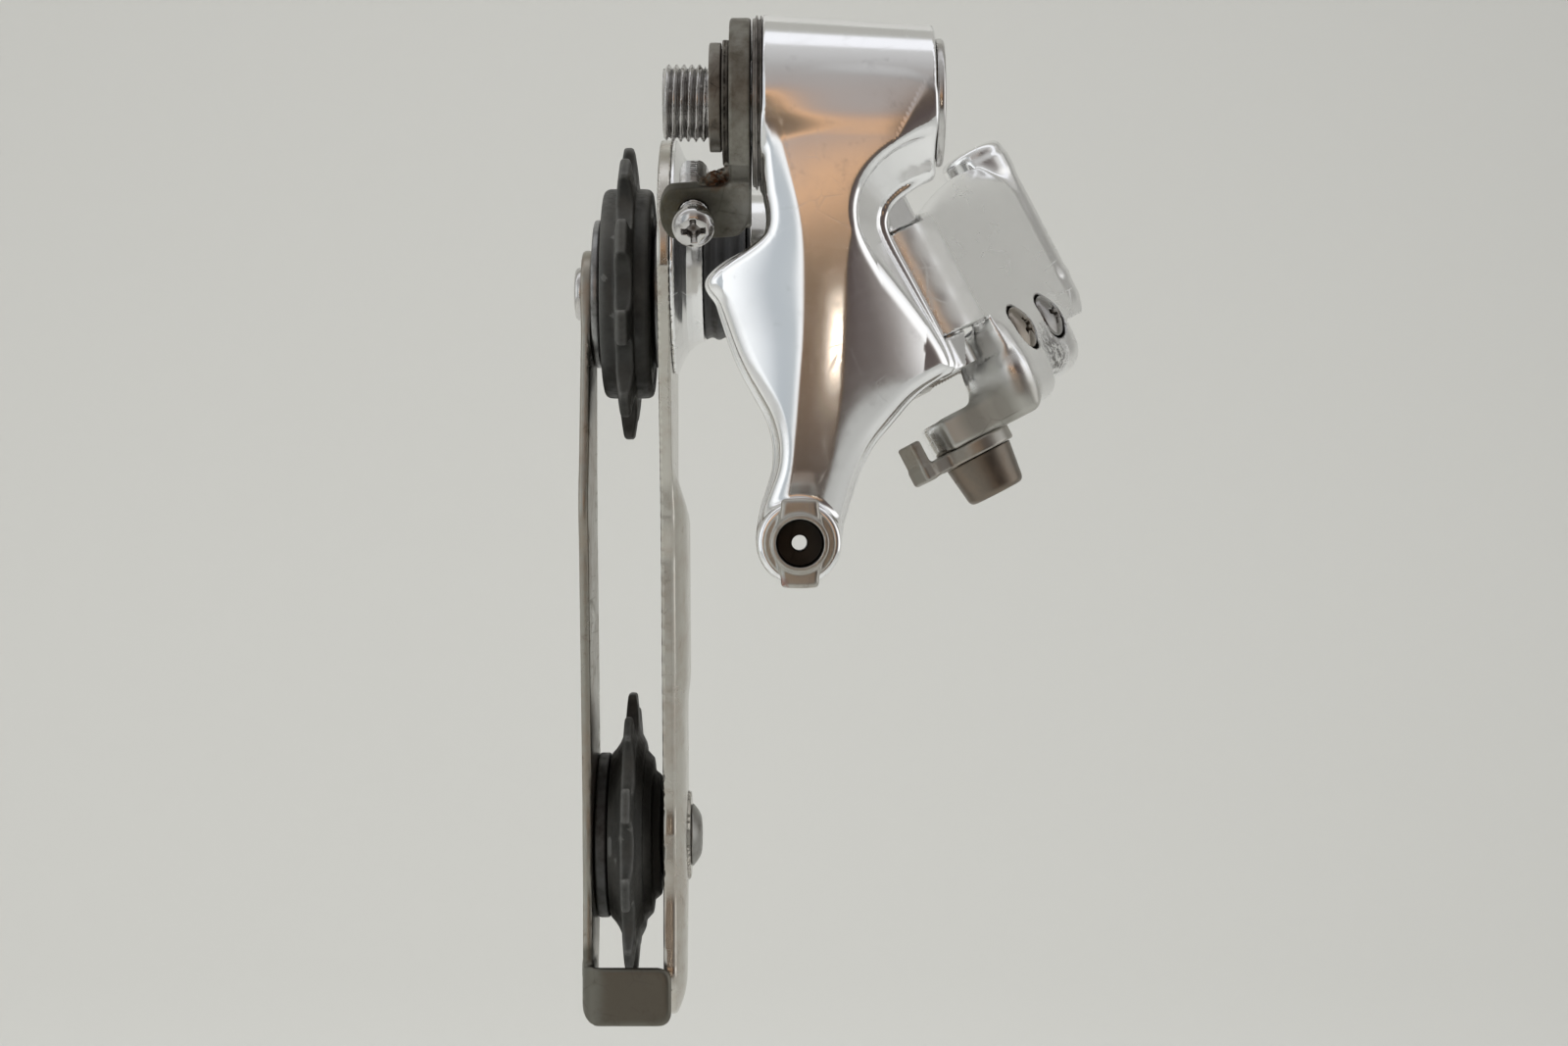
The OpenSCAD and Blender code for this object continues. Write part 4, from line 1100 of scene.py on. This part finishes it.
coil("adjuster_spring_wire", mean_radius=3.72, wire_radius=0.4, span=4.6, turns=3,
     place=lambda a, b, along: (ADJUSTER_X + a, -13.9 + along, ADJUSTER_Z - b),
     body="upper_body", node="adjuster_spring")
coil("b_pivot_spring_wire", mean_radius=6.28, wire_radius=0.5, span=10.8, turns=6,
     place=lambda a, b, along: (8.4 + along, b, -a),
     body="upper_body", node="b_pivot_spring")
coil("link_return_spring_wire", mean_radius=3.1, wire_radius=0.5, span=7, turns=5,
     place=place_link_spring, body="outer_link", node="link_return_spring")
coil("cage_pivot_spring_wire", mean_radius=5.55, wire_radius=0.85, span=8, turns=4,
     place=lambda a, b, along: (0.8 + along, PIVOT_Y + b, PIVOT_Z - a),
     body="lower_knuckle", node="cage_pivot_spring")


# ---------------------------------------------------------------- limit screws
def limit_screw(which, screw_run, turn, material):
    """A screw across the outer link, its cross recess turned by an angle."""
    def field(x, y, z):
        _, _, run, off, down = link_frame(x, y, z, OUTER_REAR)
        a, b, along = run - screw_run, LIMIT_DOWN - down, -off
        radius = length(a, b)
        profile = thread(a, b, along, radius=1.5, depth=0.22, pitch=0.5)
        profile = np.minimum(profile, 1.0 + np.maximum(along + 11.5, 0))
        shape = np.maximum(radius - profile, np.maximum(-11.5 - along, along - 3.6))
        head = smax(radius - 3.2, 3.52 - along, 0.15)
        head = smax(head, length(radius, along - 0.15) - 5.8, 0.35)
        recess = cross_recess(*turned(a, b, turn), along - 5.9, 1.7, 1.25, half_width=0.36)
        return cut(smin(shape, head, 0.1), recess, 0.12)

    low, high = link_box((screw_run - 3.3, screw_run + 3.3), (-5.6, 11.6), (41.2, 48.0))
    patch(material, from_outer_link(screw_run, -4.85, LIMIT_DOWN), core=0.7, reach=1.1,
          colour=(0.05, 0.035, 0.028), amount=0.95, rough=0.35)
    solid(which + "_limit_screw_cut", field, low, high, 0.2 * COARSE,
          which + "_screw", material, "bright_steel", which + "_limit_screw")


limit_screw("high", HIGH_RUN, turn=0.5, material="plated_screw_h")
limit_screw("low", LOW_RUN, turn=1.2, material="plated_screw_l")


# ---------------------------------------------------------------- cable anchor
def anchor_bolt(x, y, z):
    _, _, run, off, down = link_frame(x, y, z, OUTER_REAR)
    a, b = run - ANCHOR_RUN, off - ANCHOR_OFF
    radius = length(a, b)
    head_start = 57.25
    head_radius = 4.75 - 0.7 * np.clip((down - head_start) / 5.35, 0, 1)
    head = smax(radius - head_radius, head_start - down, 0.2)
    head = smax(head, down - 63.0, 0.9)
    shank = np.maximum(np.maximum(radius - 2.4, 50.7 - down), down - 58)
    return cut(smin(shank, head, 0.1), np.maximum(hexagon(b, a, 2.51), 60.0 - down), 0.15)


solid("cable_anchor_bolt_turned", anchor_bolt,
      *link_box((1.9, 11.4), (2.1, 11.6), (50.5, 63.1)), 0.22 * COARSE,
      "cable_clamp", "anchor_steel", "anchor_steel", "cable_anchor_bolt")


def anchor_washer(x, y, z):
    """A washer with an arm whose end hooks up over the lug."""
    _, _, run, off, down = link_frame(x, y, z, OUTER_REAR)
    a, b = run - ANCHOR_RUN, off - ANCHOR_OFF
    side, reach = turned(a, b, math.radians(52))
    top, bottom, arm_sides, arm_end = 55.07, 57.18, (-1.97, 2.37), 9.57
    shape = rod(a, b, down, 5.42, top, bottom, 0.35)
    arm = box(side, reach, down, arm_sides, (3, arm_end), (top, bottom), 0.35)
    lip = box(side, reach, down, arm_sides, (7.93, arm_end), (51.62, bottom), 0.4)
    shape = smin(shape, smin(arm, lip, 0.6), 0.5)
    # Serrations that bite the cable.
    radius = length(a, b)
    band = smax(np.abs(radius - 3.9) - 1.0, np.abs(down - 55.05) - 0.12, 0.05)
    teeth = np.abs(triangle_wave(np.arctan2(b, a) * 12 / math.pi) - 0.5) * 0.5 - 0.12
    shape = cut(shape, smax(band, teeth, 0.05), 0.05)
    return cut(shape, radius - 2.45, 0.12)


solid("cable_anchor_washer_hooked", anchor_washer,
      *link_box((-4.5, 12.2), (1.3, 16.6), (51.4, 57.3)), 0.22 * COARSE,
      "cable_clamp", "anchor_hook_plate", "anchor_steel", "cable_anchor_washer")


# ---------------------------------------------------------------- cage pivot
def pivot_radius(y, z):
    return length(y - PIVOT_Y, z - PIVOT_Z)


# Half section of the hub as radius, x.
HUB_SECTION = [(4.03, -6.25), (17.0, -6.25), (16.95, -5.75), (15.9, -5.25), (14.6, -4.66),
               (13.65, -4.05), (12.95, -3.3), (12.45, -2.5), (12.2, -1.8), (4.03, -1.8)]
hub_table = OutlineTable(HUB_SECTION, pad=3, step=0.1, blur=1)


def cage_hub(x, y, z):
    x, y, z = np.broadcast_arrays(x, y, z)
    radius = pivot_radius(y, z)
    shape = hub_table(np.maximum(radius, 3.0), x)
    shape = np.where(radius < 3.2, 3.2 - radius + 0.8, shape)
    # A small blind hole above the axis.
    hole = np.maximum(length(y - PIVOT_Y, z - PIVOT_Z - 5.6) - 0.82, -4.0 - x)
    return cut(shape, hole, 0.05)


solid("cage_hub_turned", cage_hub, (-6.6, 22.1, -33.6), (-1.4, 56.9, 1.2), 0.28 * COARSE,
      "cage", "hub_aluminium", "polished_aluminium", "cage_hub")


def pivot_seal(x, y, z):
    radius = pivot_radius(y, z)
    ribs = 0.5 - 0.5 * np.cos(np.clip((x + 1.7) / 5.95, 0, 1) * 6 * math.pi)
    shape = smax(radius - (11.95 - 0.35 * ribs), np.abs(x - 1.275) - 2.96, 0.3)
    return cut(shape, radius - 8.66, 0.1)


solid("cage_pivot_seal_ribbed", pivot_seal, (-2.1, 27.1, -28.6), (4.7, 51.9, -3.8),
      0.3 * COARSE, "lower_knuckle", "black_seal", "black_plastic", "cage_pivot_seal")


def end_cap(x, y, z):
    radius = pivot_radius(y, z)
    dome = length(radius, (x - 3.0) * 0.95) - 12.2
    shape = smax(smax(radius - 6.43, 13.72 - x, 0.15), dome, 0.5)
    shape = smax(shape, x - 15.2, 0.3)
    return cut(shape, np.abs(radius - 4.4) - 0.25 + np.maximum(14.95 - x, 0), 0.1)


solid("knuckle_end_cap_domed", end_cap, (13.3, 32.7, -23.0), (15.6, 46.3, -9.4),
      0.22 * COARSE, "lower_knuckle", "satin_aluminium", "satin_aluminium",
      "knuckle_end_cap")

# ---------------------------------------------------------------- cage plates
PULLEY_BOLT_HOLE = 2.54


def cage_outline(y, z, top, radii):
    """Three tapered bars from a top centre down to the tail, with a radius at each joint."""
    joints = [top, (45, -52), (TENSION_Y - 3, TENSION_Z), (TENSION_Y - 5.5, -121.6)]
    bars = [bar(y, z, joints[i], joints[i + 1], radii[i], radii[i + 1]) for i in range(3)]
    return smin(smin(bars[0], bars[1], 2), bars[2], 3)


def outer_cage_plate(x, y, z):
    x, y, z = np.broadcast_arrays(x, y, z)
    outline = cage_outline(y, z, (PIVOT_Y, PIVOT_Z), (16.95, 10.5, 9.95, 6.95))
    crown_height = 1.97
    inset = np.clip(-outline / 6.5, 0, 1)
    low = 1 / (1 + np.exp(np.clip((z + 79.7) / 0.8, -30, 30)))
    gate = np.clip((-46.0 - (z + (y - 45) * 0.1)) / 9, 0, 1)
    crown = ((crown_height - 0.42 * low) * (1 - (1 - inset) ** 2.2)
             * gate * gate * (3 - 2 * gate))
    # Flat seats for the pulley bolt and the hub.
    seat = length(y - TENSION_Y, z - TENSION_Z)
    crown = np.maximum(crown, crown_height * np.clip((7.2 - seat) / 0.6, 0, 1))
    hub = pivot_radius(y, z)
    crown = np.where(hub < 17.6, 0, crown)
    face = x - (-6.3 + crown)
    near_hub = np.clip((20.5 - hub) / 3, 0, 1)
    shape = smax(outline, face * 0.9, 0.45 - 0.35 * near_hub)
    shape = smax(shape, -8.08 - x, 0.3)
    for hole_y, hole_z, radius in ((PIVOT_Y, PIVOT_Z, 5.56),
                                   (GUIDE_Y, GUIDE_Z, PULLEY_BOLT_HOLE),
                                   (TENSION_Y, TENSION_Z, PULLEY_BOLT_HOLE)):
        shape = bore(shape, y - hole_y, z - hole_z, radius, 0.12)
    return shape


solid("outer_cage_plate_crowned", outer_cage_plate, (-8.5, 22.1, -129.4), (-3.9, 64.1, 1.4),
      0.42 * COARSE, "cage", "cage_plate_aluminium", "satin_aluminium", "outer_cage_plate")


def inner_cage_plate(x, y, z):
    x, y, z = np.broadcast_arrays(x, y, z)
    outline = cage_outline(y, z, (GUIDE_Y, GUIDE_Z), (6.45, 9.4, 9.45, 6.95))
    outer_face = x + 18.42
    inset = np.clip(-outline / 4.0, 0, 1)
    guide = length(y - GUIDE_Y, z - GUIDE_Z)
    tension = length(y - TENSION_Y, z - TENSION_Z)
    seat = np.minimum(guide, tension)
    dish = 0.28 * (1 - inset) ** 2 * np.clip((seat - 6) / 3, 0, 1)
    shape = smax(outline, -20.19 - x + dish, 0.6)
    shape = smax(shape, outer_face + dish * 0.6, 0.45)
    # The strap that bends round under the pulley.
    height = smax(-129.0 - z, z + 120.32, 1.2)
    strap = smax(height, smax(-20.18 - x, x + 6.82, 2.2), 2.2)
    strap = smax(strap, np.abs(y - 42.5) - 0.88, 1.1)
    side = smax(height, smax(-20.18 - x, outer_face, 0.3), 0.5)
    side = smax(side, smax(41.62 - y, y - 50.5, 0.5), 0.5)
    shape = smin(shape, smin(side, strap, 0.5), 1.2)
    for radius in (guide, tension):
        shape = cut(shape, radius - PULLEY_BOLT_HOLE, 0.12)
    # The bend is rounded on a 4 mm radius, and the lower corner on 3 mm.
    bend = length(np.minimum(x + 16.18, 0), np.minimum(y - 45.62, 0)) - 4.0
    shape = smax(shape, np.where(z < -119, bend, -2.0), 0.2)
    corner = length(np.minimum(x + 17.18, 0), np.minimum(z + 126.0, 0)) - 3.0
    return smax(shape, np.where(z < -122, corner, -2.0), 0.2)


patch("cage_plate_inner", (-13.5, 42.5, -124.6), core=7.4, reach=8.6,
      colour=(0.125, 0.12, 0.10), amount=0.85, rough=0.12, mask=(0.5, 1.2, 1))
solid("inner_cage_plate_bent", inner_cage_plate, (-20.7, 34.2, -129.6), (-6.2, 64.0, -13.5),
      0.42 * COARSE, "cage", "cage_plate_inner", "satin_aluminium", "inner_cage_plate")


# ---------------------------------------------------------------- pulley bolts and caps
def guide_bolt(x, y, z):
    y, z = y - GUIDE_Y, z - GUIDE_Z
    radius = length(y, z)
    head = smax(radius - 4.0, x + 20.22, 0.15)
    head = smax(head, length(radius, (x + 12.0) * 0.98) - 9.72, 0.6)
    head = smax(head, -21.4 - x, 0.3)
    shape = smin(head, np.maximum(radius - 2.5, np.abs(x + 13.6) - 7.2), 0.1)
    return cut(shape, np.maximum(hexagon(y, z, 1.645), x + 19.7), 0.12)


solid("guide_pulley_bolt_turned", guide_bolt, (-21.7, 43.2, -25.2), (-6.1, 52.0, -16.4),
      0.2 * COARSE, "cage", "plated_screw", "bright_steel", "guide_pulley_bolt")


def tension_bolt(x, y, z):
    y, z = y - TENSION_Y, z - TENSION_Z
    radius = length(y, z)
    head = smax(radius - 5.7, -4.28 - x, 0.12)
    head = smax(head, length(radius, (x + 10.3) * 0.9) - 7.35, 0.4)
    head = smax(head, x + 2.72, 0.3)
    shank = np.maximum(radius - 2.5, np.maximum(-20.0 - x, x + 4.0))
    return cut(smin(head, shank, 0.1), np.maximum(hexagon(y, z, 1.645), -5.5 - x), 0.12)


solid("tension_pulley_bolt_domed", tension_bolt, (-20.4, 50.7, -108.1), (-2.4, 62.1, -96.7),
      0.22 * COARSE, "cage", "pulley_bolt_dull", "bright_steel", "tension_pulley_bolt")


def pulley_cap(pulley, side, centre_y, centre_z, start, end, rim, material):
    """A thin disc with a groove in the face turned away from the pulley."""
    def field(x, y, z):
        radius = length(y - centre_y, z - centre_z)
        thickness = np.abs(x - (start + end) / 2) - (end - start) / 2 + 0.01
        shape = smax(radius - rim + 0.02, thickness, min(0.45, (end - start) * 0.5))
        depth = end - x if side == "outer" else x - start
        groove = np.abs(radius - rim * 0.78) - 0.5 + np.maximum(depth, 0) * 3
        return cut(cut(shape, groove, 0.12), radius - 3.58, 0.08)

    solid(f"{pulley}_cap_{side}", field,
          (start - 0.3, centre_y - rim - 0.5, centre_z - rim - 0.5),
          (end + 0.3, centre_y + rim + 0.5, centre_z + rim + 0.5), 0.2 * COARSE,
          "cage", material, "cap_steel", pulley + "_pulley_caps")


# Pulley, its axis, material, then each cap's distance from the pulley's middle and radius.
for pulley, axis, cap_material, inner, outer in (
        ("guide", (GUIDE_Y, GUIDE_Z), "pulley_cap_steel", (3.92, 11), (3.92, 11)),
        ("tension", (TENSION_Y, TENSION_Z), "pulley_cap_dark", (3.32, 12.5), (4.62, 6.5))):
    pulley_cap(pulley, "inner", *axis, GAP_INNER_X + 0.05, PULLEY_X - inner[0], inner[1],
               cap_material)
    pulley_cap(pulley, "outer", *axis, PULLEY_X + outer[0], GAP_OUTER_X - 0.05, outer[1],
               cap_material)


# ---------------------------------------------------------------- pulleys
def tooth_ring(x, y, z, half, tip_half):
    """Teeth round the X axis; half and tip_half are half widths at root and tip."""
    radius = length(y, z)
    spacing = 2 * math.pi / TEETH
    turn = (np.arctan2(y, z) / spacing + 0.5) % 1.0 - 0.5    # 0 at a tooth tip
    turn = (np.abs(turn) - 0.5) * spacing                    # 0 at a gap
    gap = length(radius * np.sin(turn), radius * np.cos(turn) - PITCH_RADIUS) - 3.98
    flank = smax(-gap, radius - 21.65, 0.9)
    width = half - (half - tip_half) * np.clip((radius - 17.2) / 4.3, 0, 1) ** 1.3
    return smax(smax(flank, np.abs(x - PULLEY_X) - width, 0.45), 12.0 - radius, 0.3)


def guide_pulley(x, y, z):
    x, y, z = np.broadcast_arrays(x, y - GUIDE_Y, z - GUIDE_Z)
    radius, side = length(y, z), np.abs(x - PULLEY_X)
    body = smax(side - 3.6, radius - 15.55, 0.8)
    body = smax(body, (side * 0.50 + radius * 0.866) - 15.2, 0.7)
    shape = smin(tooth_ring(x, y, z, half=1.3, tip_half=0.72), body, 0.35)
    # A shallow ring sunk into both sides.
    shape = cut(shape, smax(smax(3.25 - side, radius - 14.0, 0.2), 11.6 - radius, 0.2), 0.2)
    return cut(shape, radius - 3.62, 0.1)


solid("guide_pulley_moulded", guide_pulley, (-17.5, 25.4, -43.0), (-9.0, 69.8, 1.4),
      0.32 * COARSE, "guide_pulley", "pulley_resin", "pulley_plastic", "guide_pulley")

# Stations in x from the pulley's middle, and body radii.
TENSION_PROFILE = (
    [-3.2, -2.6, -1.9, -1.2, -0.9, 0, 0.9, 1.2, 1.9, 2.0, 2.1, 3.2, 3.3, 3.4, 4.5],
    [12.4, 13.0, 14.0, 15.6, 16.4, 16.5, 16.4, 15.8, 14.4, 14.2, 13.0, 11.8, 11.0, 9.9, 9.0])


def tension_pulley(x, y, z):
    x, y, z = np.broadcast_arrays(x, y - TENSION_Y, z - TENSION_Z)
    radius, side = length(y, z), x - PULLEY_X
    body = (radius - np.interp(side, *TENSION_PROFILE)) * 0.6
    body = smax(smax(body, -3.2 - side, 0.25), side - 4.5, 0.25)
    shape = smin(tooth_ring(x, y, z, half=1.0, tip_half=0.62), body, 0.5)
    return cut(shape, radius - 3.62, 0.1)


solid("tension_pulley_moulded", tension_pulley, (-16.9, 34.2, -124.6), (-8.3, 78.6, -80.2),
      0.32 * COARSE, "tension_pulley", "pulley_resin", "pulley_plastic", "tension_pulley")

# ---------------------------------------------------------------- carried-over CAD pieces
CAD_MATERIALS = {
    "bronze_bush": ("b_pivot_bush", "cage_pivot_bush", "guide_pulley_sleeve",
                    "tension_pulley_sleeve"),
    "ground_pin_steel": ("rear_outer_pin", "rear_inner_pin", "front_outer_pin",
                         "front_inner_pin", "cage_stop_pin"),
    "thread_steel": ("cage_pivot_axle",),
    "spring_steel": ("cage_pivot_clip",),
}
for cad_material, cad_names in CAD_MATERIALS.items():
    for cad_name in cad_names:
        for material_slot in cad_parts[cad_name].material_slots:
            material_slot.material = MATERIALS[cad_material]


# ---------------------------------------------------------------- studio, in metres
def paper_material():
    t = new_material("pale_paper")
    mottle = t.times(t.noise(t.coords(), scale=3, detail=2), 0.3)
    tint = t.mix(mottle, (0.639, 0.646, 0.624), (0.618, 0.624, 0.603))
    # Painted light and shade: the paper is made darker with height and lighter toward both
    # sides, from left to right, standing in for how the lamps fall on it.
    x, _, z = t.add("ShaderNodeSeparateXYZ", {0: t.object_coords()}).outputs
    painted_shade_by_height = [(0.195, 0.99), (0.42, 0.915), (0.60, 0.84), (0.70, 0.80)]
    painted_light_and_shade_by_side = [(0.30, 1.25), (0.40, 1.0), (0.5, 1.0), (0.60, 0.955), (0.67, 0.97), (0.75, 1.12)]
    for axis, scale, stops in ((z, 1.0, painted_shade_by_height), (x, 0.25, painted_light_and_shade_by_side)):
        place = t.plus(t.times(axis, scale), 0.5)
        tint = t.mix(1.0, tint, t.ramp(place, stops), blend="MULTIPLY")
    t.surface(Base_Color=tint, Roughness=0.9)


def paper_floor():
    """A pale floor that curves up into a backdrop behind the part."""
    half_width, floor_z, bend_start, bend_radius = 2.4, -0.62, 0.55, 0.35
    profile = [(-1.6, floor_z), (bend_start, floor_z)]
    for i in range(1, 13):
        angle = math.pi / 2 * i / 12
        profile.append((bend_start + bend_radius * math.sin(angle),
                        floor_z + bend_radius * (1 - math.cos(angle))))
    profile.append((bend_start + bend_radius, 1.3))
    points = [(x, y, z) for y, z in profile for x in (-half_width, half_width)]
    faces = [(2 * i, 2 * i + 1, 2 * i + 3, 2 * i + 2) for i in range(len(profile) - 1)]
    mesh = bpy.data.meshes.new("floor")
    mesh.from_pydata(points, [], faces)
    for face in mesh.polygons:
        face.use_smooth = True
    floor = add_object("studio_floor", mesh)
    paper_material()
    mesh.materials.append(MATERIALS["pale_paper"])


# Azimuth in degrees (0 behind the camera, positive to the right) and colour.
ROOM_SIDES = [
    (-180, (0.42, 0.42, 0.39)), (-110, (0.42, 0.44, 0.42)), (-84, (0.95, 0.97, 0.97)),
    (-66, (1.15, 1.18, 1.18)), (-56, (1.12, 1.15, 1.16)), (-44, (0.50, 0.54, 0.57)),
    (-32, (0.54, 0.58, 0.60)), (-24, (0.98, 1.0, 1.0)), (-18, (0.98, 0.98, 0.97)),
    (-13, (0.55, 0.42, 0.33)), (0, (0.40, 0.27, 0.17)), (12, (0.30, 0.20, 0.12)),
    (17, (0.10, 0.078, 0.062)), (31, (0.095, 0.074, 0.07)), (48, (0.15, 0.127, 0.118)),
    (56, (0.30, 0.27, 0.25)), (66, (1.05, 1.04, 1.02)), (84, (1.3, 1.3, 1.28)),
    (118, (1.0, 1.0, 0.98)), (145, (0.85, 0.85, 0.82)), (180, (0.42, 0.42, 0.39))]
# Elevation in degrees and colour, behind the camera and high up.
ROOM_CENTRE = [
    (-90, (0.06, 0.052, 0.045)), (-26, (0.07, 0.058, 0.05)), (-17, (0.085, 0.064, 0.052)),
    (-11.5, (0.185, 0.128, 0.086)), (-3, (0.225, 0.155, 0.10)), (0.5, (0.32, 0.215, 0.135)),
    (5.0, (0.80, 0.48, 0.275)), (9, (0.53, 0.37, 0.275)), (14, (0.43, 0.36, 0.32)),
    (20, (0.42, 0.375, 0.35)), (45, (0.41, 0.375, 0.35)), (90, (0.5, 0.5, 0.5))]
ROOM_HIGH = [
    (-90, (0.28, 0.25, 0.22)), (20, (0.40, 0.385, 0.375)), (40, (0.44, 0.43, 0.42)),
    (60, (0.56, 0.555, 0.55)), (75, (0.62, 0.62, 0.61)), (90, (0.66, 0.66, 0.65))]


def room_world():
    """The room the metal mirrors: dim low behind the camera, bright at the sides and above."""
    world = bpy.data.worlds.new("room")
    bpy.context.scene.world = world
    world.use_nodes = True
    world.node_tree.nodes.clear()
    t = Nodes(world.node_tree)
    direction = t.add("ShaderNodeTexCoord", {}).outputs["Generated"]
    x, y, z = t.add("ShaderNodeSeparateXYZ", {0: direction}).outputs
    azimuth = t.math("ARCTAN2", x, t.times(y, -1.0))
    azimuth = t.plus(t.math("DIVIDE", azimuth, 2 * math.pi), 0.5)
    elevation = t.math("ARCSINE", t.math("MINIMUM", t.math("MAXIMUM", z, -1.0), 1.0))
    elevation = t.plus(t.math("DIVIDE", elevation, math.pi), 0.5)

    def round_ramp(*stops):
        return t.ramp(azimuth, [(degrees / 360 + 0.5, value) for degrees, value in stops])

    def height_ramp(*stops):
        return t.ramp(elevation, [(degrees / 180 + 0.5, value) for degrees, value in stops])

    # Low on the right, the dark zone reaches further round.
    low_right = t.times(round_ramp((14, 0), (24, 1), (60, 1), (70, 0)),
                        height_ramp((-40, 0), (-30, 0.8), (-14, 0.8), (-4, 0)))
    side = t.mix(low_right, round_ramp(*ROOM_SIDES), (0.15, 0.125, 0.11))
    centre = t.times(round_ramp((-17, 0), (-11, 1)), round_ramp((12, 1), (18, 0)))
    colour = t.mix(centre, side, height_ramp(*ROOM_CENTRE))
    # Everything dims toward the floor.
    dim = height_ramp((-50, 0.25), (-22, 0.7), (-6, 1.0))
    colour = t.mix(1.0, colour, dim, blend="MULTIPLY")
    colour = t.mix(height_ramp((16, 0), (44, 1)), colour, height_ramp(*ROOM_HIGH))
    # The far side of the room, behind the part.
    far = t.ramp(t.plus(t.times(y, 0.5), 0.5), [(0.56, 0), (0.62, 1)])
    far = t.times(far, height_ramp((20, 0), (50, 1)))
    colour = t.mix(far, colour, (0.46, 0.455, 0.42))
    # A long light box overhead, placed by the ratio of y to z.
    ratio = t.math("DIVIDE", y, t.math("MAXIMUM", z, 0.05))
    ratio = t.math("ADD", t.times(ratio, 0.5), 0.5, clamp=True)
    strip = t.times(t.ramp(ratio, [(0.355, 0), (0.375, 1), (0.555, 1), (0.575, 0)]),
                    t.ramp(z, [(0.25, 0), (0.4, 1)]))
    colour = t.mix(strip, colour, (1.02, 1.03, 1.06))
    # A small lamp low behind the camera.
    lamp = t.times(round_ramp((3.4, 0), (4.0, 1), (5.2, 1), (5.8, 0)),
                   height_ramp((-9.0, 0), (-8.4, 1), (-7.2, 1), (-6.6, 0)))
    colour = t.mix(lamp, colour, (16.0, 14.0, 11.5))
    background = t.add("ShaderNodeBackground", {"Color": colour, "Strength": 1.0})
    t.add("ShaderNodeOutputWorld", {0: background.outputs[0]})


def area_light(name, location, target, size, power, colour):
    light = bpy.data.lights.new(name, "AREA")
    light.shape = "RECTANGLE"
    light.size = light.size_y = size
    light.energy = power
    light.color = colour
    ob = add_object(name, light)
    ob.location = location
    aim = Vector(target) - Vector(location)
    ob.rotation_euler = aim.to_track_quat("-Z", "Y").to_euler()
    ob.visible_glossy = False


def add_camera():
    """Looks along +Y."""
    camera = bpy.data.cameras.new("view")
    camera.sensor_width = 36
    camera.lens = 59.67
    camera.clip_start = 0.01
    ob = add_object("view", camera)
    ob.location = (9.74 * MM, -340 * MM, -54.9 * MM)
    ob.rotation_euler = (math.pi / 2, 0, 0)
    bpy.context.scene.camera = ob


paper_floor()
room_world()
PART_MIDDLE = (0.01, 0.02, -0.06)
area_light("key_top_left", (-0.55, -0.5, 0.75), target=PART_MIDDLE, size=0.6, power=7.0,
           colour=(1, 0.99, 0.97))
area_light("fill_right", (0.8, -0.35, 0.25), target=PART_MIDDLE, size=0.6, power=3.5,
           colour=(0.98, 0.99, 1))
area_light("paper_light", (0.0, 0.1, 1.25), target=(0, 0.75, -0.1), size=1.2, power=9.0,
           colour=(1, 0.99, 0.97))
add_camera()
bpy.context.scene.view_settings.view_transform = "Standard"
